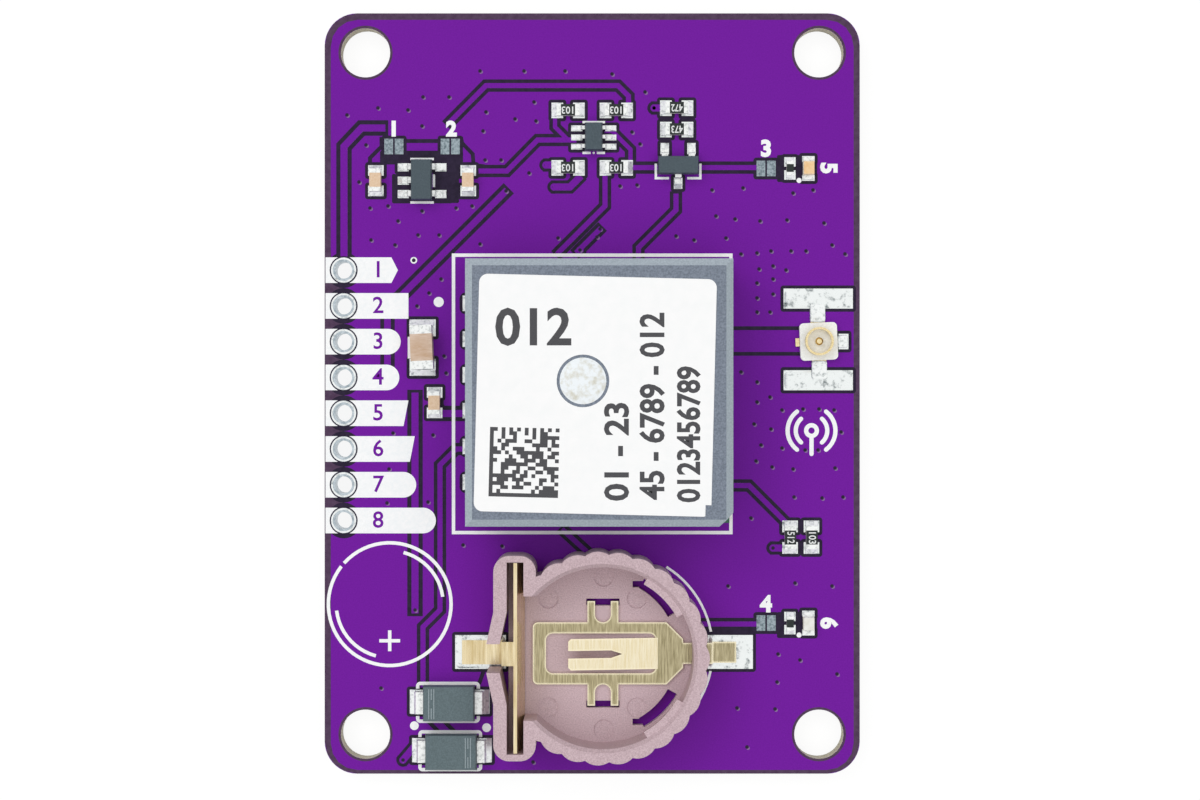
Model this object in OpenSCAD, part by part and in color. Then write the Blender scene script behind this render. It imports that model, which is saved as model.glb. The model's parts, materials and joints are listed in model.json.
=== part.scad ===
// GPS receiver board: a purple carrier board with a patch-antenna receiver block, an empty
// coin-cell holder, a row of plated header holes and a coaxial antenna jack.
// The origin is the middle of the board's underside, +X right, +Y to the top edge, +Z up.

/* [Board] */
// Width of the board
board_w = 38; // [36:0.5:60]
// Length of the board
board_l = 54; // [52:0.5:80]
// Thickness of the board
board_t = 1.6; // [0.8:0.1:2.4]
// Corner radius of the board
board_r = 2.3; // [0.5:0.1:3]
// Diameter of the mounting holes
hole_d = 3.5; // [2.5:0.1:4]
// Distances from the long and the short board edges to the mounting hole centres
hole_inset = [2.9, 2.8]; // [2.6:0.05:3.4]
// Clear strip along the top edge, as a share of the board's length
top_strip = 0.11; // [0.05:0.01:0.15]
// Thickness of the tinned pads
pad_t = 0.05; // [0.03:0.01:0.1]
// Thickness of the white print
print_t = 0.02; // [0.01:0.01:0.03]
// Width of the white print lines
print_w = 0.24; // [0.15:0.01:0.3]

/* [Header holes] */
// Number of header holes
header_n = 8; // [4:1:8]
// Spacing of the header holes
header_pitch = 2.54; // [2.2:0.01:2.6]
// Finished diameter of the header holes
header_hole_d = 1.2; // [1.15:0.05:1.3]
// Diameter of the rings round the header holes
header_ring_d = 1.8; // [1.6:0.05:2]
// Thickness of the plating in the header holes
plating_t = 0.05; // [0.03:0.01:0.08]
// Distance from the left edge to the header holes
header_inset = 1.35; // [1.2:0.05:1.6]
// Offset of the header row from the board's middle
header_shift = -0.13; // [-2:0.01:2]
// Height of the white flags behind the header holes
flag_h = 1.82; // [1.4:0.02:1.9]
// Clear band between a header ring and the print
print_gap = 0.08; // [0.05:0.01:0.15]

/* [Receiver] */
// Side of the receiver block
receiver_w = 18.4; // [17.5:0.1:20]
// Place of the receiver block from the middle of its print frame
receiver_off = [0.5, 0.08]; // [-1:0.01:1]
// Space under the print frame, as a share of what is free between the holder and the upper parts
frame_share = 0.19; // [0.1:0.005:0.5]
// Thickness of the receiver's own carrier
carrier_t = 0.8; // [0.6:0.1:1.2]
// Number of castellations on each side
land_n = 6; // [3:1:6]
// Spacing of the castellations
land_pitch = 2.54; // [1.5:0.01:2.8]
// Diameter of each castellation notch
notch_d = 0.8; // [0.5:0.05:1]
// Width of each land on the board
land_w = 1.1; // [1:0.05:1.4]
// Length of each land on the board
land_l = 1.3; // [1.2:0.05:2]
// Distance from the middle of the print frame to the outer ends of the lands
land_reach = 9.2; // [9:0.05:9.6]
// Distance from the middle of the print frame to its lines
frame_reach = 9.85; // [9.8:0.05:10.4]
// Height of the shield can
shield_h = 1.6; // [1.4:0.1:2]
// Sheet thickness of the shield can
shield_t = 0.2; // [0.1:0.05:0.3]
// Distance from the carrier's edge to the shield can
shield_inset = 0.6; // [0.5:0.1:1]
// Thickness of the adhesive tape under the antenna
tape_t = 0.05; // [0.03:0.01:0.1]
// Height of the ceramic patch antenna
patch_h = 4; // [2:0.1:5]
// Chamfer round the top of the antenna
patch_chamfer = 0.5; // [0.2:0.05:0.8]
// Cut at the antenna's marked corner
patch_corner = 0.95; // [0.5:0.05:1.5]
// Side of the label
label_w = 16.25; // [14:0.25:16.5]
// Thickness of the label
label_t = 0.06; // [0.03:0.01:0.1]
// Corner radius of the label
label_r = 0.6; // [0.2:0.1:1.5]
// Offset of the label from the antenna's middle
label_off = [-0.27, -0.19]; // [-0.3:0.01:0.3]
// Turn of the label on the antenna, in degrees
label_turn = -1.4; // [-2:0.1:2]
// Diameter of the round opening in the label
label_hole_d = 3.6; // [3.3:0.1:4.5]
// Place of the feed pin from the antenna's middle
feed_at = [-1.11, 0.79]; // [-3:0.01:3]
// Diameter of the feed pin
feed_d = 1.6; // [0.8:0.1:2]
// Diameter of the solder dome round the feed pin
feed_dome_d = 3.2; // [2.4:0.1:3.2]
// Height of the solder dome
feed_dome_h = 0.35; // [0.2:0.05:0.6]
// Clearance round the feed pin in the antenna and the carrier
feed_clear = 0.05; // [0.03:0.01:0.2]
// Clearance round the feed pin in the shield can
feed_shield_clear = 0.5; // [0.3:0.1:1]

/* [Coin-cell holder] */
// Place of the holder: from the board's middle, and up from the bottom edge
holder_at = [0.76, 8.65]; // [0:0.01:9]
// Diameter of the coin cell that the holder takes
cell_d = 12.5; // [12:0.1:12.6]
// Clearance round the coin cell
cell_clear = 0.05; // [0.03:0.01:0.15]
// Wall of the round pocket at its lobes
ring_wall = 1.1; // [0.9:0.05:1.2]
// Height of the holder
holder_h = 4.6; // [4:0.1:6]
// Thickness of the holder's floor
floor_t = 0.8; // [0.7:0.05:1.2]
// Number of grip lobes in a full turn
lobe_n = 27; // [18:1:36]
// Radius of each grip lobe
lobe_r = 1.4; // [1.2:0.1:2]
// Lead-in chamfer round the pocket's mouth
mouth_chamfer = 0.25; // [0.1:0.05:0.4]
// How far the positive strip stands into the pocket
strip_reach = 0.8; // [0.5:0.05:1]
// Width of the slot that the positive strip stands in
slot_w = 1.17; // [1.1:0.01:1.4]
// Half length of the slot
slot_half = 6.65; // [6.4:0.05:6.8]
// Wall outside the slot
block_wall = 0.92; // [0.7:0.02:1.1]
// Post between the slot and the round pocket
post_w = 0.85; // [0.6:0.05:1]
// Half length of the block that holds the strip
block_half = 7.1; // [7:0.05:7.3]
// Corner radius of the block
block_r = 1.1; // [0.5:0.1:1.3]
// Half width of the opening between the slot and the pocket
mouth_half = 4.3; // [3.8:0.1:4.6]
// Half length of the outer wall that is cut into two arms
arm_half = 3.2; // [2.6:0.1:3.8]
// Half width of the gap between the two arms
arm_gap = 1; // [0.95:0.05:1.4]
// How far the arms lean outwards
arm_lean = 0.48; // [0.2:0.02:0.6]
// Inward reach of the two retaining lips
lip_reach = 0.45; // [0.2:0.05:0.5]
// Height of the retaining lips
lip_h = 0.5; // [0.3:0.1:0.8]
// Depth of the round marks on the floor
mark_depth = 0.1; // [0.03:0.01:0.15]
// Diameter of the round marks on the floor
mark_d = 1.4; // [1:0.1:1.6]

/* [Holder contacts] */
// Sheet thickness of the contacts
contact_t = 0.25; // [0.15:0.05:0.3]
// Half length of the positive strip
strip_half = 6.6; // [5.5:0.1:6.6]
// Lean of the positive strip, from its top back to the cell at its foot
strip_lean = 0.45; // [0.2:0.05:0.6]
// Gap between the strip's top edge and the holder's top
strip_drop = 0.2; // [0.1:0.05:1]
// Half width of the positive tab
plus_tab_half = 0.85; // [0.6:0.05:0.9]
// Length of the positive tab on its pad
plus_tab_l = 3.1; // [2.5:0.1:3.4]
// Height of the link from the positive tab to the strip
link_h = 1.3; // [1.25:0.05:1.8]
// Half width of the negative plate
plate_half = 2.19; // [2:0.01:2.3]
// Left end of the negative plate, from the pocket's middle
plate_left = 4.95; // [4.8:0.05:5]
// Right end of the plate's full width, from the pocket's middle
plate_right = 4.49; // [4.2:0.01:4.6]
// Length of the plate's taper
plate_taper = 1.17; // [1:0.01:1.25]
// Half width of the plate's tail
tail_half = 0.74; // [0.5:0.02:0.8]
// Half width of the window in the plate
window_half = 1.41; // [1.3:0.01:1.5]
// Half width of the spring tongue
tongue_half = 1.1; // [0.9:0.05:1.2]
// Length of the spring tongue
tongue_l = 6.4; // [5.5:0.1:7]
// Rise of the spring tongue, in degrees
tongue_rise = 9; // [4:1:12]
// Width of the slit between the tongue's two fingers
slit_w = 0.53; // [0.3:0.01:0.7]
// Length of the slit
slit_l = 3.85; // [2:0.05:5]
// Length of the negative tab on its pad
minus_tab_l = 1.7; // [1.2:0.1:2.2]
// Half width of the holder's two pads
holder_pad_half = 1.2; // [1:0.05:1.3]

/* [Small parts] */
// Place of the regulator: from the left edge, and below the clear top strip
regulator_in = [6.92, 5.95]; // [5:0.01:14]
// Body of the regulator
regulator_size = [1.5, 2.9, 1.1]; // [1:0.05:3]
// Place of the level shifter: right of the middle, and below the clear top strip
shifter_in = [0.11, 2.88]; // [0:0.01:10]
// Body of the level shifter
shifter_size = [1.25, 2, 0.9]; // [0.8:0.05:2.2]
// Place of the transistor: right of the middle, and below the clear top strip
transistor_in = [6.1, 4.9]; // [4:0.01:12]
// Body of the transistor
transistor_size = [1.3, 2.9, 1]; // [0.9:0.05:3]
// Draft of the moulded bodies on each side
mould_draft = 0.08; // [0.03:0.01:0.12]
// Sheet thickness of the gull-wing leads
lead_t = 0.15; // [0.1:0.01:0.2]
// Gap under the moulded bodies
standoff = 0.06; // [0.03:0.01:0.1]
// Reach of a gull-wing lead past its body
lead_reach = 0.6; // [0.5:0.05:0.7]
// Body of the diodes
diode_size = [3.66, 2.55, 1.2]; // [1.5:0.05:4]
// Places of the two diodes from the holder's middle
diode_x = [-10.88, -10.72]; // [-12:0.01:-10.5]
// Distances of the two diodes below the holder's middle
diode_y = [-3.53, -6.97]; // [-7:0.01:-3.3]
// Width of the diode leads
diode_lead_w = 1.55; // [1.2:0.05:1.8]
// Reach of the diode leads past the body
diode_lead_reach = 0.62; // [0.4:0.02:0.7]
// Sheet thickness of the diode leads
diode_lead_t = 0.2; // [0.15:0.01:0.25]
// Chip resistor: length, width, height
resistor_size = [1.6, 0.8, 0.45]; // [0.3:0.05:2]
// Small chip resistor beside each lamp: length, width, height
small_resistor_size = [1, 0.5, 0.35]; // [0.3:0.05:1.2]
// Chip capacitor: length, width, height
capacitor_size = [1.6, 0.8, 0.8]; // [0.4:0.05:2]
// Bulk capacitor: length, width, height
bulk_size = [3.1, 1.55, 1.5]; // [1:0.05:3.4]
// Turn of the bulk capacitor on its pads, in degrees
bulk_turn = 2.5; // [-3:0.5:3]
// Lamp: length, width, height of its base
lamp_size = [1.6, 0.8, 0.3]; // [0.2:0.05:2]
// Height of the lamp's lens above its base
lens_h = 0.4; // [0.2:0.05:0.6]
// Length of a chip's tinned end
chip_end = 0.3; // [0.2:0.05:0.35]
// Length of the small chips' tinned end
small_chip_end = 0.22; // [0.15:0.01:0.25]
// Thickness of a resistor's dark coat
coat_t = 0.06; // [0.03:0.01:0.1]
// Pad left free past a chip's end
pad_free = 0.38; // [0.2:0.02:0.4]
// Pad left free beside a chip
pad_side = 0.15; // [0.05:0.01:0.16]
// Size of one solder-jumper pad
jumper_size = [0.62, 1.11]; // [0.4:0.01:1.2]
// Gap between the two pads of a solder jumper
jumper_gap = 0.12; // [0.1:0.01:0.3]

/* [Antenna jack] */
// Place of the jack: from the right edge, and up from the middle
jack_in = [2.95, 3.69]; // [2.5:0.01:5]
// Turn of the jack on its pads, in degrees
jack_turn = 2.5; // [-4:0.5:4]
// Side of the jack's base
jack_w = 2.65; // [2.4:0.05:2.8]
// Height of the jack's base
jack_base_h = 0.5; // [0.4:0.05:0.6]
// Corner radius of the jack's base
jack_r = 0.3; // [0.1:0.05:0.5]
// Outer diameter of the shell
shell_d = 2; // [1.8:0.05:2.1]
// Wall of the shell
shell_wall = 0.15; // [0.12:0.01:0.25]
// Height of the shell over the board
shell_h = 1.25; // [1:0.05:1.6]
// Depth of the snap groove round the shell
groove_depth = 0.06; // [0.03:0.01:0.1]
// Diameter of the pin
pin_d = 0.55; // [0.4:0.05:0.6]
// Height of the pin over the board
pin_h = 1; // [0.8:0.05:1.1]
// Sheet thickness of the shell's and the pin's tails
tail_t = 0.12; // [0.08:0.01:0.2]
// Width of the shell's ground tails
ground_tail_w = 1; // [0.7:0.05:1.2]
// Size of a ground pad
ground_pad = [4.92, 1.42]; // [1:0.01:5]
// Distance between the two ground pads' middles
ground_pad_gap = 5.8; // [5.4:0.05:6]
// Offset of the ground pads from the jack's middle
ground_pad_shift = 0.15; // [0:0.01:0.2]
// Size of the signal pad
signal_pad = [0.7, 1.1]; // [0.5:0.05:1.2]

/* [Hidden] */
$fn = 48;
eps = 0.01;

// Board edges and the two heights that everything stands on
left = -board_w / 2;
right = board_w / 2;
top = board_l / 2;
bottom = -board_l / 2;
pad_top = board_t + pad_t;
rows_top = top - top_strip * board_l;

// Header row
header_x = left + header_inset;
function header_y(i) = header_shift + ((header_n - 1) / 2 - i) * header_pitch;
header_drill_d = header_hole_d + 2 * plating_t;

// Right-hand end of each header flag: its form, and its distance from the left edge
flag_ends = [
  ["point", 5.2], ["square", 5.95], ["round", 5.4], ["round", 5.3],
  ["slant", 5.95], ["slant", 6.4], ["round", 6.5], ["round", 7.9]
];
flag_edge = 0.06;
flag_point = 0.46;
flag_slant = 0.35;

// Receiver stack, from the board up
carrier_z = pad_top;
shield_z = carrier_z + carrier_t;
tape_z = shield_z + shield_h;
patch_z = tape_z + tape_t;
patch_top = patch_z + patch_h;
shield_w = receiver_w - 2 * shield_inset;
tape_edge = 0.3;
tape_w = shield_w - 2 * tape_edge;
function land_y(i) = receiver_at[1] + ((land_n - 1) / 2 - i) * land_pitch;

// Inner receiver pieces: place from the receiver's middle, and size
chip_at = receiver_w * [0.174, -0.141];
chip_size = [5, 5, 0.9];
oscillator_at = receiver_w * [-0.25, -0.24];
oscillator_size = [2.5, 2, 0.8];
filter_at = receiver_w * [0.24, 0.25];
filter_size = [1.4, 1.1, 0.5];

// Coin-cell holder, measured from the pocket's middle
holder_x = holder_at[0];
holder_y = bottom + holder_at[1];
pocket_r = cell_d / 2 + cell_clear;
ring_r = pocket_r + ring_wall;
slot_x1 = -(pocket_r - strip_reach);
slot_x0 = slot_x1 - slot_w;
block_x0 = slot_x0 - block_wall;
block_x1 = slot_x1 + post_w;
lip_from = 29;
lip_turn = 32;
relief_w = 0.75;
relief_leg = 0.45;
relief_inset = 0.3;
relief_gap = 0.05;
tail_headroom = 0.35;
tail_window_h = contact_t + tail_headroom;
tail_clear = 0.15;
arm_lift = 0.3;
lug_half = 1.09;
lug_prong = 0.53;
lug_reach = 1.5;
lug_drop = 0.5;
lug_clear = 0.08;
lug_overlap = 0.05;
window_left = plate_left - 0.93;
window_right = plate_right - 0.74;
window_r = 0.5;
plate_r = 0.35;
tip_clip = 0.18;
slit_point = 0.8;
tongue_root = 0.1;
riser_gap = 0.1;
riser_x = ring_r + riser_gap;
link_gap = 0.22;
link_x = slot_x0 - link_gap;
strip_lift = 0.1;
plus_pad_over = 0.5;
minus_pad_over = 1.5;
minus_pad_gap = 0.05;
marks = [[-3.85, 3.85], [0.05, 5.4], [2.4, 3.85]];

// Receiver's place: its print frame stands between the holder and the lowest pad of the upper parts
small_pad_free = 0.3;
frame_half = frame_reach + print_w / 2;
parts_low = rows_top - regulator_in[1] - capacitor_size[0] / 2 - small_pad_free;
holder_top = holder_y + ring_r;
frame_y = holder_top + frame_half + frame_share * (parts_low - holder_top - 2 * frame_half);
receiver_at = [receiver_off[0], frame_y + receiver_off[1]];

// Shares of a gull-wing lead's reach: its knee, its foot, and where its pad starts
knee_share = 0.25;
foot_share = 0.5;
pad_share = 0.3;

// Small parts
regulator_x = left + regulator_in[0];
regulator_y = rows_top - regulator_in[1];
regulator_pitch = 0.95;
regulator_lead_w = 0.42;
supply_capacitor_x = 3.28;
supply_jumper = [2, 2.43];
shifter_x = shifter_in[0];
shifter_y = rows_top - shifter_in[1];
shifter_pitch = 0.65;
shifter_lead_w = 0.26;
transistor_x = transistor_in[0];
transistor_y = rows_top - transistor_in[1];
transistor_pitch = 0.95;
transistor_lead_w = 0.45;
pull_x = 1.71;
pull_above = 1.92;
pull_below = 2.16;
gate_above = [4.1, 2.58];
gate_shift = -0.1;
lamp_x = right - 3.65;
lamp_resistor_x = right - 4.96;
lamp_jumper_x = right - 6.65;
power_lamp_y = top - 11.02;
pulse_lamp_y = bottom + 10.7;
sense_x = [right - 4.95, right - 3.43];
sense_y = bottom + 16.8;
bulk_at = [left + 6.96, 3.26];
bypass_at = [left + 7.81, -0.65];
circle_at = [left + 4.62, bottom + 12.04];
circle_r = 4.36;
arc_r = 3.8;
plus_half = 0.62;
plus_drop = 2.6;
bulk_pad_free = 0.45;
bulk_end = 2 * chip_end;
lamp_pad_free = 0.08;
lamp_pad_side = 0.04;
lamp_dot_r = 0.18;
lamp_dot_x = lamp_size[1] / 2 + lamp_pad_side + lamp_dot_r + print_gap / 2;
lamp_dot_y = 0.85;
lens_slope = 0.06;
lens_edge = 0.03;
diode_lead_under = 0.7;
diode_pad_under = 0.8;
fiducial_at = [left + 8.1, 6.5];
fiducial_r = 0.36;

// Print round the parts: how far it stands off them
mark_w = 0.17;
mark_gap = 0.09;
regulator_bar_half = 0.36;
transistor_gap = [0.13, 0.22];
transistor_hook = [0.85, 0.95];
bracket_off = [-0.12, -0.05];
bracket_reach = 0.32;
bracket_rise = 0.065;
bracket_drop = 0.37;
bracket_r = 0.3;
diode_dots = [[-13.39, -5.24], [-8.26, -5.38]];
diode_dot_r = 0.31;
bulk_mark_x = 0.94;
bulk_mark_half = 0.65;
holder_arc_at = [0.8, 0.1];
holder_arc_r = ring_r - 0.4;

// Antenna jack
jack_x = right - jack_in[0];
jack_y = jack_in[1];
shell_in_r = shell_d / 2 - shell_wall;
groove_z = 0.62 * shell_h;
tail_root_r = shell_in_r + 0.03;
ground_tail_over = 0.35;
left_tail_w = 0.58;
left_tail_over = 0.3;
signal_tail_w = 0.4;
signal_tail_over = 0.55;
signal_pad_gap = 0.12;
tail_notch = 0.08;
pin_tip = 0.1;

// Chip resistors: x, y, turn
resistors = [
  [-pull_x, shifter_y + pull_above, 0], [pull_x, shifter_y + pull_above, 0],
  [-pull_x, shifter_y - pull_below, 0], [pull_x, shifter_y - pull_below, 0],
  [transistor_x + gate_shift, transistor_y + gate_above[0], 180],
  [transistor_x + gate_shift, transistor_y + gate_above[1], 180],
  [sense_x[0], sense_y, 90], [sense_x[1], sense_y, 90]
];
small_resistors = [
  [lamp_resistor_x, power_lamp_y, 90], [lamp_resistor_x, pulse_lamp_y, 90]
];
supply_capacitors = [
  [regulator_x - supply_capacitor_x, regulator_y, 90],
  [regulator_x + supply_capacitor_x, regulator_y, 90]
];
bulk_capacitor = [bulk_at[0], bulk_at[1], 90 + bulk_turn];
bypass_capacitor = [bypass_at[0], bypass_at[1], 90];
power_lamp = [lamp_x, power_lamp_y, 90];
pulse_lamp = [lamp_x, pulse_lamp_y, 90];

// Solder jumpers: middle of each pad pair
jumpers = [
  [regulator_x - supply_jumper[0], regulator_y + supply_jumper[1]],
  [regulator_x + supply_jumper[0], regulator_y + supply_jumper[1]],
  [lamp_jumper_x, power_lamp_y], [lamp_jumper_x, pulse_lamp_y]
];

// Shared forms

// Rectangle with round corners, centred
module round_rect(size, r) {
  square([size[0] - 2 * r, size[1]], center = true);
  square([size[0], size[1] - 2 * r], center = true);
  for (x = [-1, 1], y = [-1, 1])
    translate([x * (size[0] / 2 - r), y * (size[1] / 2 - r)]) circle(r);
}

// Block centred on its foot
module block(size) {
  translate([-size[0] / 2, -size[1] / 2, 0]) cube(size);
}

// Side profile of a moulded body: drafted above and below a plain band that the leads leave from
module mould_profile(w, h, band) {
  low = (h - band) / 2;
  polygon([
    [mould_draft - w / 2, 0], [w / 2 - mould_draft, 0], [w / 2, low], [w / 2, low + band],
    [w / 2 - mould_draft, h], [mould_draft - w / 2, h], [-w / 2, low + band], [-w / 2, low]
  ]);
}

// Moulded body with draft on all four sides
module moulded(size, band) {
  intersection() {
    rotate([90, 0, 0]) linear_extrude(size[1], center = true) mould_profile(size[0], size[2], band);
    rotate([90, 0, 90]) linear_extrude(size[0], center = true) mould_profile(size[1], size[2], band);
  }
}

// Gull-wing lead along +X from a body's side at x = from, with its foot on z = 0
module gull_lead(from, mid_z, width) {
  knee = from + knee_share * lead_reach;
  foot = from + foot_share * lead_reach;
  tip = from + lead_reach;
  low = mid_z - lead_t / 2;
  rotate([90, 0, 0]) linear_extrude(width, center = true) polygon([
    [from, low], [knee - lead_t / 2, low], [foot - lead_t / 2, 0], [tip, 0],
    [tip, lead_t], [foot + lead_t / 4, lead_t], [knee + lead_t / 4, low + lead_t], [from, low + lead_t]
  ]);
}

// Diode lead along +X: out of the body's side, down, and back under the body
module hook_lead(from, mid_z) {
  tip = from + diode_lead_reach;
  under = from - diode_lead_under;
  t = diode_lead_t;
  rotate([90, 0, 0]) linear_extrude(diode_lead_w, center = true) polygon([
    [from, mid_z - t / 2], [tip - t, mid_z - t / 2], [tip - t, t], [under, t], [under, 0],
    [tip - t / 2, 0], [tip, t / 2], [tip, mid_z - t / 4], [tip - t / 2, mid_z + t / 2],
    [from, mid_z + t / 2]
  ]);
}

// Puts a part on the pads at place [x, y, turn]
module on_pads(place) {
  translate([place[0], place[1], pad_top]) rotate(place[2]) children();
}

// The two tinned ends of a chip that lies along X
module chip_ends(size, end) {
  for (s = [-1, 1]) translate([s * (size[0] - end) / 2, 0, 0]) block([end, size[1], size[2]]);
}

// The chip's body between its ends
module chip_core(size, end, h) {
  block([size[0] - 2 * end, size[1], h]);
}

// The two pads under a chip
module chip_pads(place, size, end, free, side = pad_side) {
  pad_l = end + free + side;
  translate([place[0], place[1], board_t]) rotate(place[2])
    for (s = [-1, 1])
      translate([s * (size[0] / 2 + free - pad_l / 2), 0, 0])
        block([pad_l, size[1] + 2 * side, pad_t]);
}

// Pad under a gull-wing lead that leaves along +X
module lead_pad(from, width) {
  pad_from = from + pad_share * lead_reach;
  pad_l = (1 - pad_share) * lead_reach + pad_free;
  translate([pad_from, -width / 2 - pad_side / 2, 0]) cube([pad_l, width + pad_side, pad_t]);
}

// Straight print line from a to b, square to the board
module print_line(a, b, w = print_w) {
  lo = [min(a[0], b[0]), min(a[1], b[1])];
  hi = [max(a[0], b[0]), max(a[1], b[1])];
  translate([lo[0] - w / 2, lo[1] - w / 2, board_t])
    cube([hi[0] - lo[0] + w, hi[1] - lo[1] + w, print_t]);
}

// Print arc round a middle point
module print_arc(at, r, from, turn, w = print_w) {
  translate([at[0], at[1], board_t]) rotate(from) rotate_extrude(angle = turn)
    translate([r - w / 2, 0]) square([w, print_t]);
}

// Round print dot
module print_dot(at, r) {
  translate([at[0], at[1], board_t]) cylinder(r = r, h = print_t);
}

// Board and its print

module board() {
  color("#6d2194") difference() {
    linear_extrude(board_t) round_rect([board_w, board_l], board_r);
    for (x = [-1, 1], y = [-1, 1])
      translate([x * (board_w / 2 - hole_inset[0]), y * (board_l / 2 - hole_inset[1]), -eps])
        cylinder(d = hole_d, h = board_t + 2 * eps);
    for (i = [0:header_n - 1]) translate([header_x, header_y(i), 0]) {
      translate([0, 0, -eps]) cylinder(d = header_drill_d, h = board_t + 2 * eps);
      translate([0, 0, -eps]) cylinder(d = header_ring_d, h = pad_t + eps);
    }
  }
}

// One header flag: a white bar from the left edge with its own kind of end
module flag(form, reach) {
  l = reach - flag_edge;
  h = flag_h;
  translate([left + flag_edge, -h / 2]) {
    if (form == "square") square([l, h]);
    if (form == "point") polygon([
      [0, 0], [l - flag_point, 0], [l, h / 2], [l - flag_point, h], [0, h]
    ]);
    if (form == "slant") polygon([[0, 0], [l - flag_slant, 0], [l, h], [0, h]]);
    if (form == "round") {
      square([l - h / 2, h]);
      translate([l - h / 2, h / 2]) circle(h / 2);
    }
  }
}

module header_flags() {
  for (i = [0:header_n - 1])
    translate([0, header_y(i), board_t]) linear_extrude(print_t) difference() {
      flag(flag_ends[i][0], flag_ends[i][1]);
      translate([header_x, 0]) circle(d = header_ring_d + 2 * print_gap);
    }
}

module receiver_frame() {
  outer = 2 * frame_reach + print_w;
  inner = 2 * frame_reach - print_w;
  translate([0, frame_y, board_t]) linear_extrude(print_t) difference() {
    square(outer, center = true);
    square(inner, center = true);
  }
}

// Round battery mark with its plus sign
module battery_mark() {
  plus_at = [circle_at[0], circle_at[1] - plus_drop];
  print_arc(circle_at, circle_r, 142, 356);
  print_arc(circle_at, arc_r, 8, 67);
  print_arc(circle_at, arc_r, 187, 68);
  print_line([plus_at[0] - plus_half, plus_at[1]], [plus_at[0] + plus_half, plus_at[1]]);
  print_line([plus_at[0], plus_at[1] - plus_half], [plus_at[0], plus_at[1] + plus_half]);
}

// Two brackets over and under a diode
module diode_brackets(at) {
  x = diode_size[0] / 2 + bracket_reach;
  y = diode_size[1] / 2 + bracket_rise;
  translate([at[0] + bracket_off[0], at[1] + bracket_off[1], board_t]) linear_extrude(print_t) difference() {
    round_rect([2 * x + print_w, 2 * y + print_w], bracket_r);
    square([2 * x - print_w, 2 * y - print_w], center = true);
    square([4 * x, 2 * (y - bracket_drop)], center = true);
  }
}

module part_marks() {
  regulator_half = [regulator_size[0] / 2, regulator_size[1] / 2 + mark_gap];
  regulator_bar_x = regulator_x + regulator_size[0] / 2 + mark_gap;
  shifter_half = [shifter_size[0] / 2 + mark_gap, shifter_size[1] / 2 + mark_gap];
  shifter_break = 0.3;
  transistor_half = [transistor_size[1], transistor_size[0]] / 2 + transistor_gap;
  for (s = [-1, 1]) print_line(
    [regulator_x - regulator_half[0], regulator_y + s * regulator_half[1]],
    [regulator_x + regulator_half[0], regulator_y + s * regulator_half[1]], mark_w
  );
  print_line(
    [regulator_bar_x, regulator_y - regulator_bar_half],
    [regulator_bar_x, regulator_y + regulator_bar_half], mark_w
  );
  print_line(
    [shifter_x - shifter_half[0], shifter_y + shifter_half[1]],
    [shifter_x + shifter_half[0], shifter_y + shifter_half[1]], mark_w
  );
  for (s = [-1, 1]) print_line(
    [shifter_x + s * shifter_break, shifter_y - shifter_half[1]],
    [shifter_x + s * shifter_half[0], shifter_y - shifter_half[1]], mark_w
  );
  print_dot([shifter_x, shifter_y - shifter_half[1]], mark_w / 2);
  for (s = [-1, 1]) {
    corner = [transistor_x + s * transistor_half[0], transistor_y - transistor_half[1]];
    print_line(corner, [corner[0] - s * transistor_hook[0], corner[1]], mark_w);
    print_line(corner, [corner[0], corner[1] + transistor_hook[1]], mark_w);
  }
  print_line(
    [bulk_at[0] - bulk_mark_x, bulk_at[1] - bulk_mark_half],
    [bulk_at[0] - bulk_mark_x, bulk_at[1] + bulk_mark_half]
  );
  for (lamp = [power_lamp, pulse_lamp])
    print_dot([lamp[0] - lamp_dot_x, lamp[1] - lamp_dot_y], lamp_dot_r);
  print_dot(fiducial_at, fiducial_r);
}

module white_print() {
  color("#f6f8f8") {
    header_flags();
    receiver_frame();
    battery_mark();
    for (span = [[11, 47], [-45, 33]])
      print_arc([holder_x, holder_y] + holder_arc_at, holder_arc_r, span[0], span[1], mark_w);
    for (at = diode_dots) print_dot([holder_x, holder_y] + at, diode_dot_r);
    for (i = [0:1]) diode_brackets([holder_x + diode_x[i], holder_y + diode_y[i]]);
    part_marks();
  }
}

module header_barrels() {
  r_in = header_hole_d / 2;
  r_drill = header_drill_d / 2;
  r_ring = header_ring_d / 2;
  color("#b9c2c8") for (i = [0:header_n - 1])
    translate([header_x, header_y(i), 0]) rotate_extrude() polygon([
      [r_in, 0], [r_ring, 0], [r_ring, pad_t], [r_drill, pad_t], [r_drill, board_t],
      [r_ring, board_t], [r_ring, pad_top], [r_in, pad_top]
    ]);
}

module jumper_pads() {
  color("#8fa3ab") for (at = jumpers, s = [-1, 1])
    translate([at[0] + s * (jumper_size[0] + jumper_gap) / 2, at[1], board_t])
      block([jumper_size[0], jumper_size[1], pad_t]);
}

// Where each lead of the three moulded parts leaves: x, y, turn, lead width
function side_leads(x, y, size, pitch, rows, turn, w) = [
  for (r = rows) [x, y, turn, r * pitch, w, size[0] / 2]
];
regulator_leads_at = concat(
  side_leads(regulator_x, regulator_y, regulator_size, regulator_pitch, [-1, 0, 1], 180, regulator_lead_w),
  side_leads(regulator_x, regulator_y, regulator_size, regulator_pitch, [-1, 1], 0, regulator_lead_w)
);
shifter_leads_at = [
  for (turn = [0, 180])
    each side_leads(shifter_x, shifter_y, shifter_size, shifter_pitch, [-1, 0, 1], turn, shifter_lead_w)
];
transistor_leads_at = concat(
  side_leads(transistor_x, transistor_y, transistor_size, transistor_pitch, [-1, 1], 90, transistor_lead_w),
  side_leads(transistor_x, transistor_y, transistor_size, transistor_pitch, [0], 270, transistor_lead_w)
);

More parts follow.
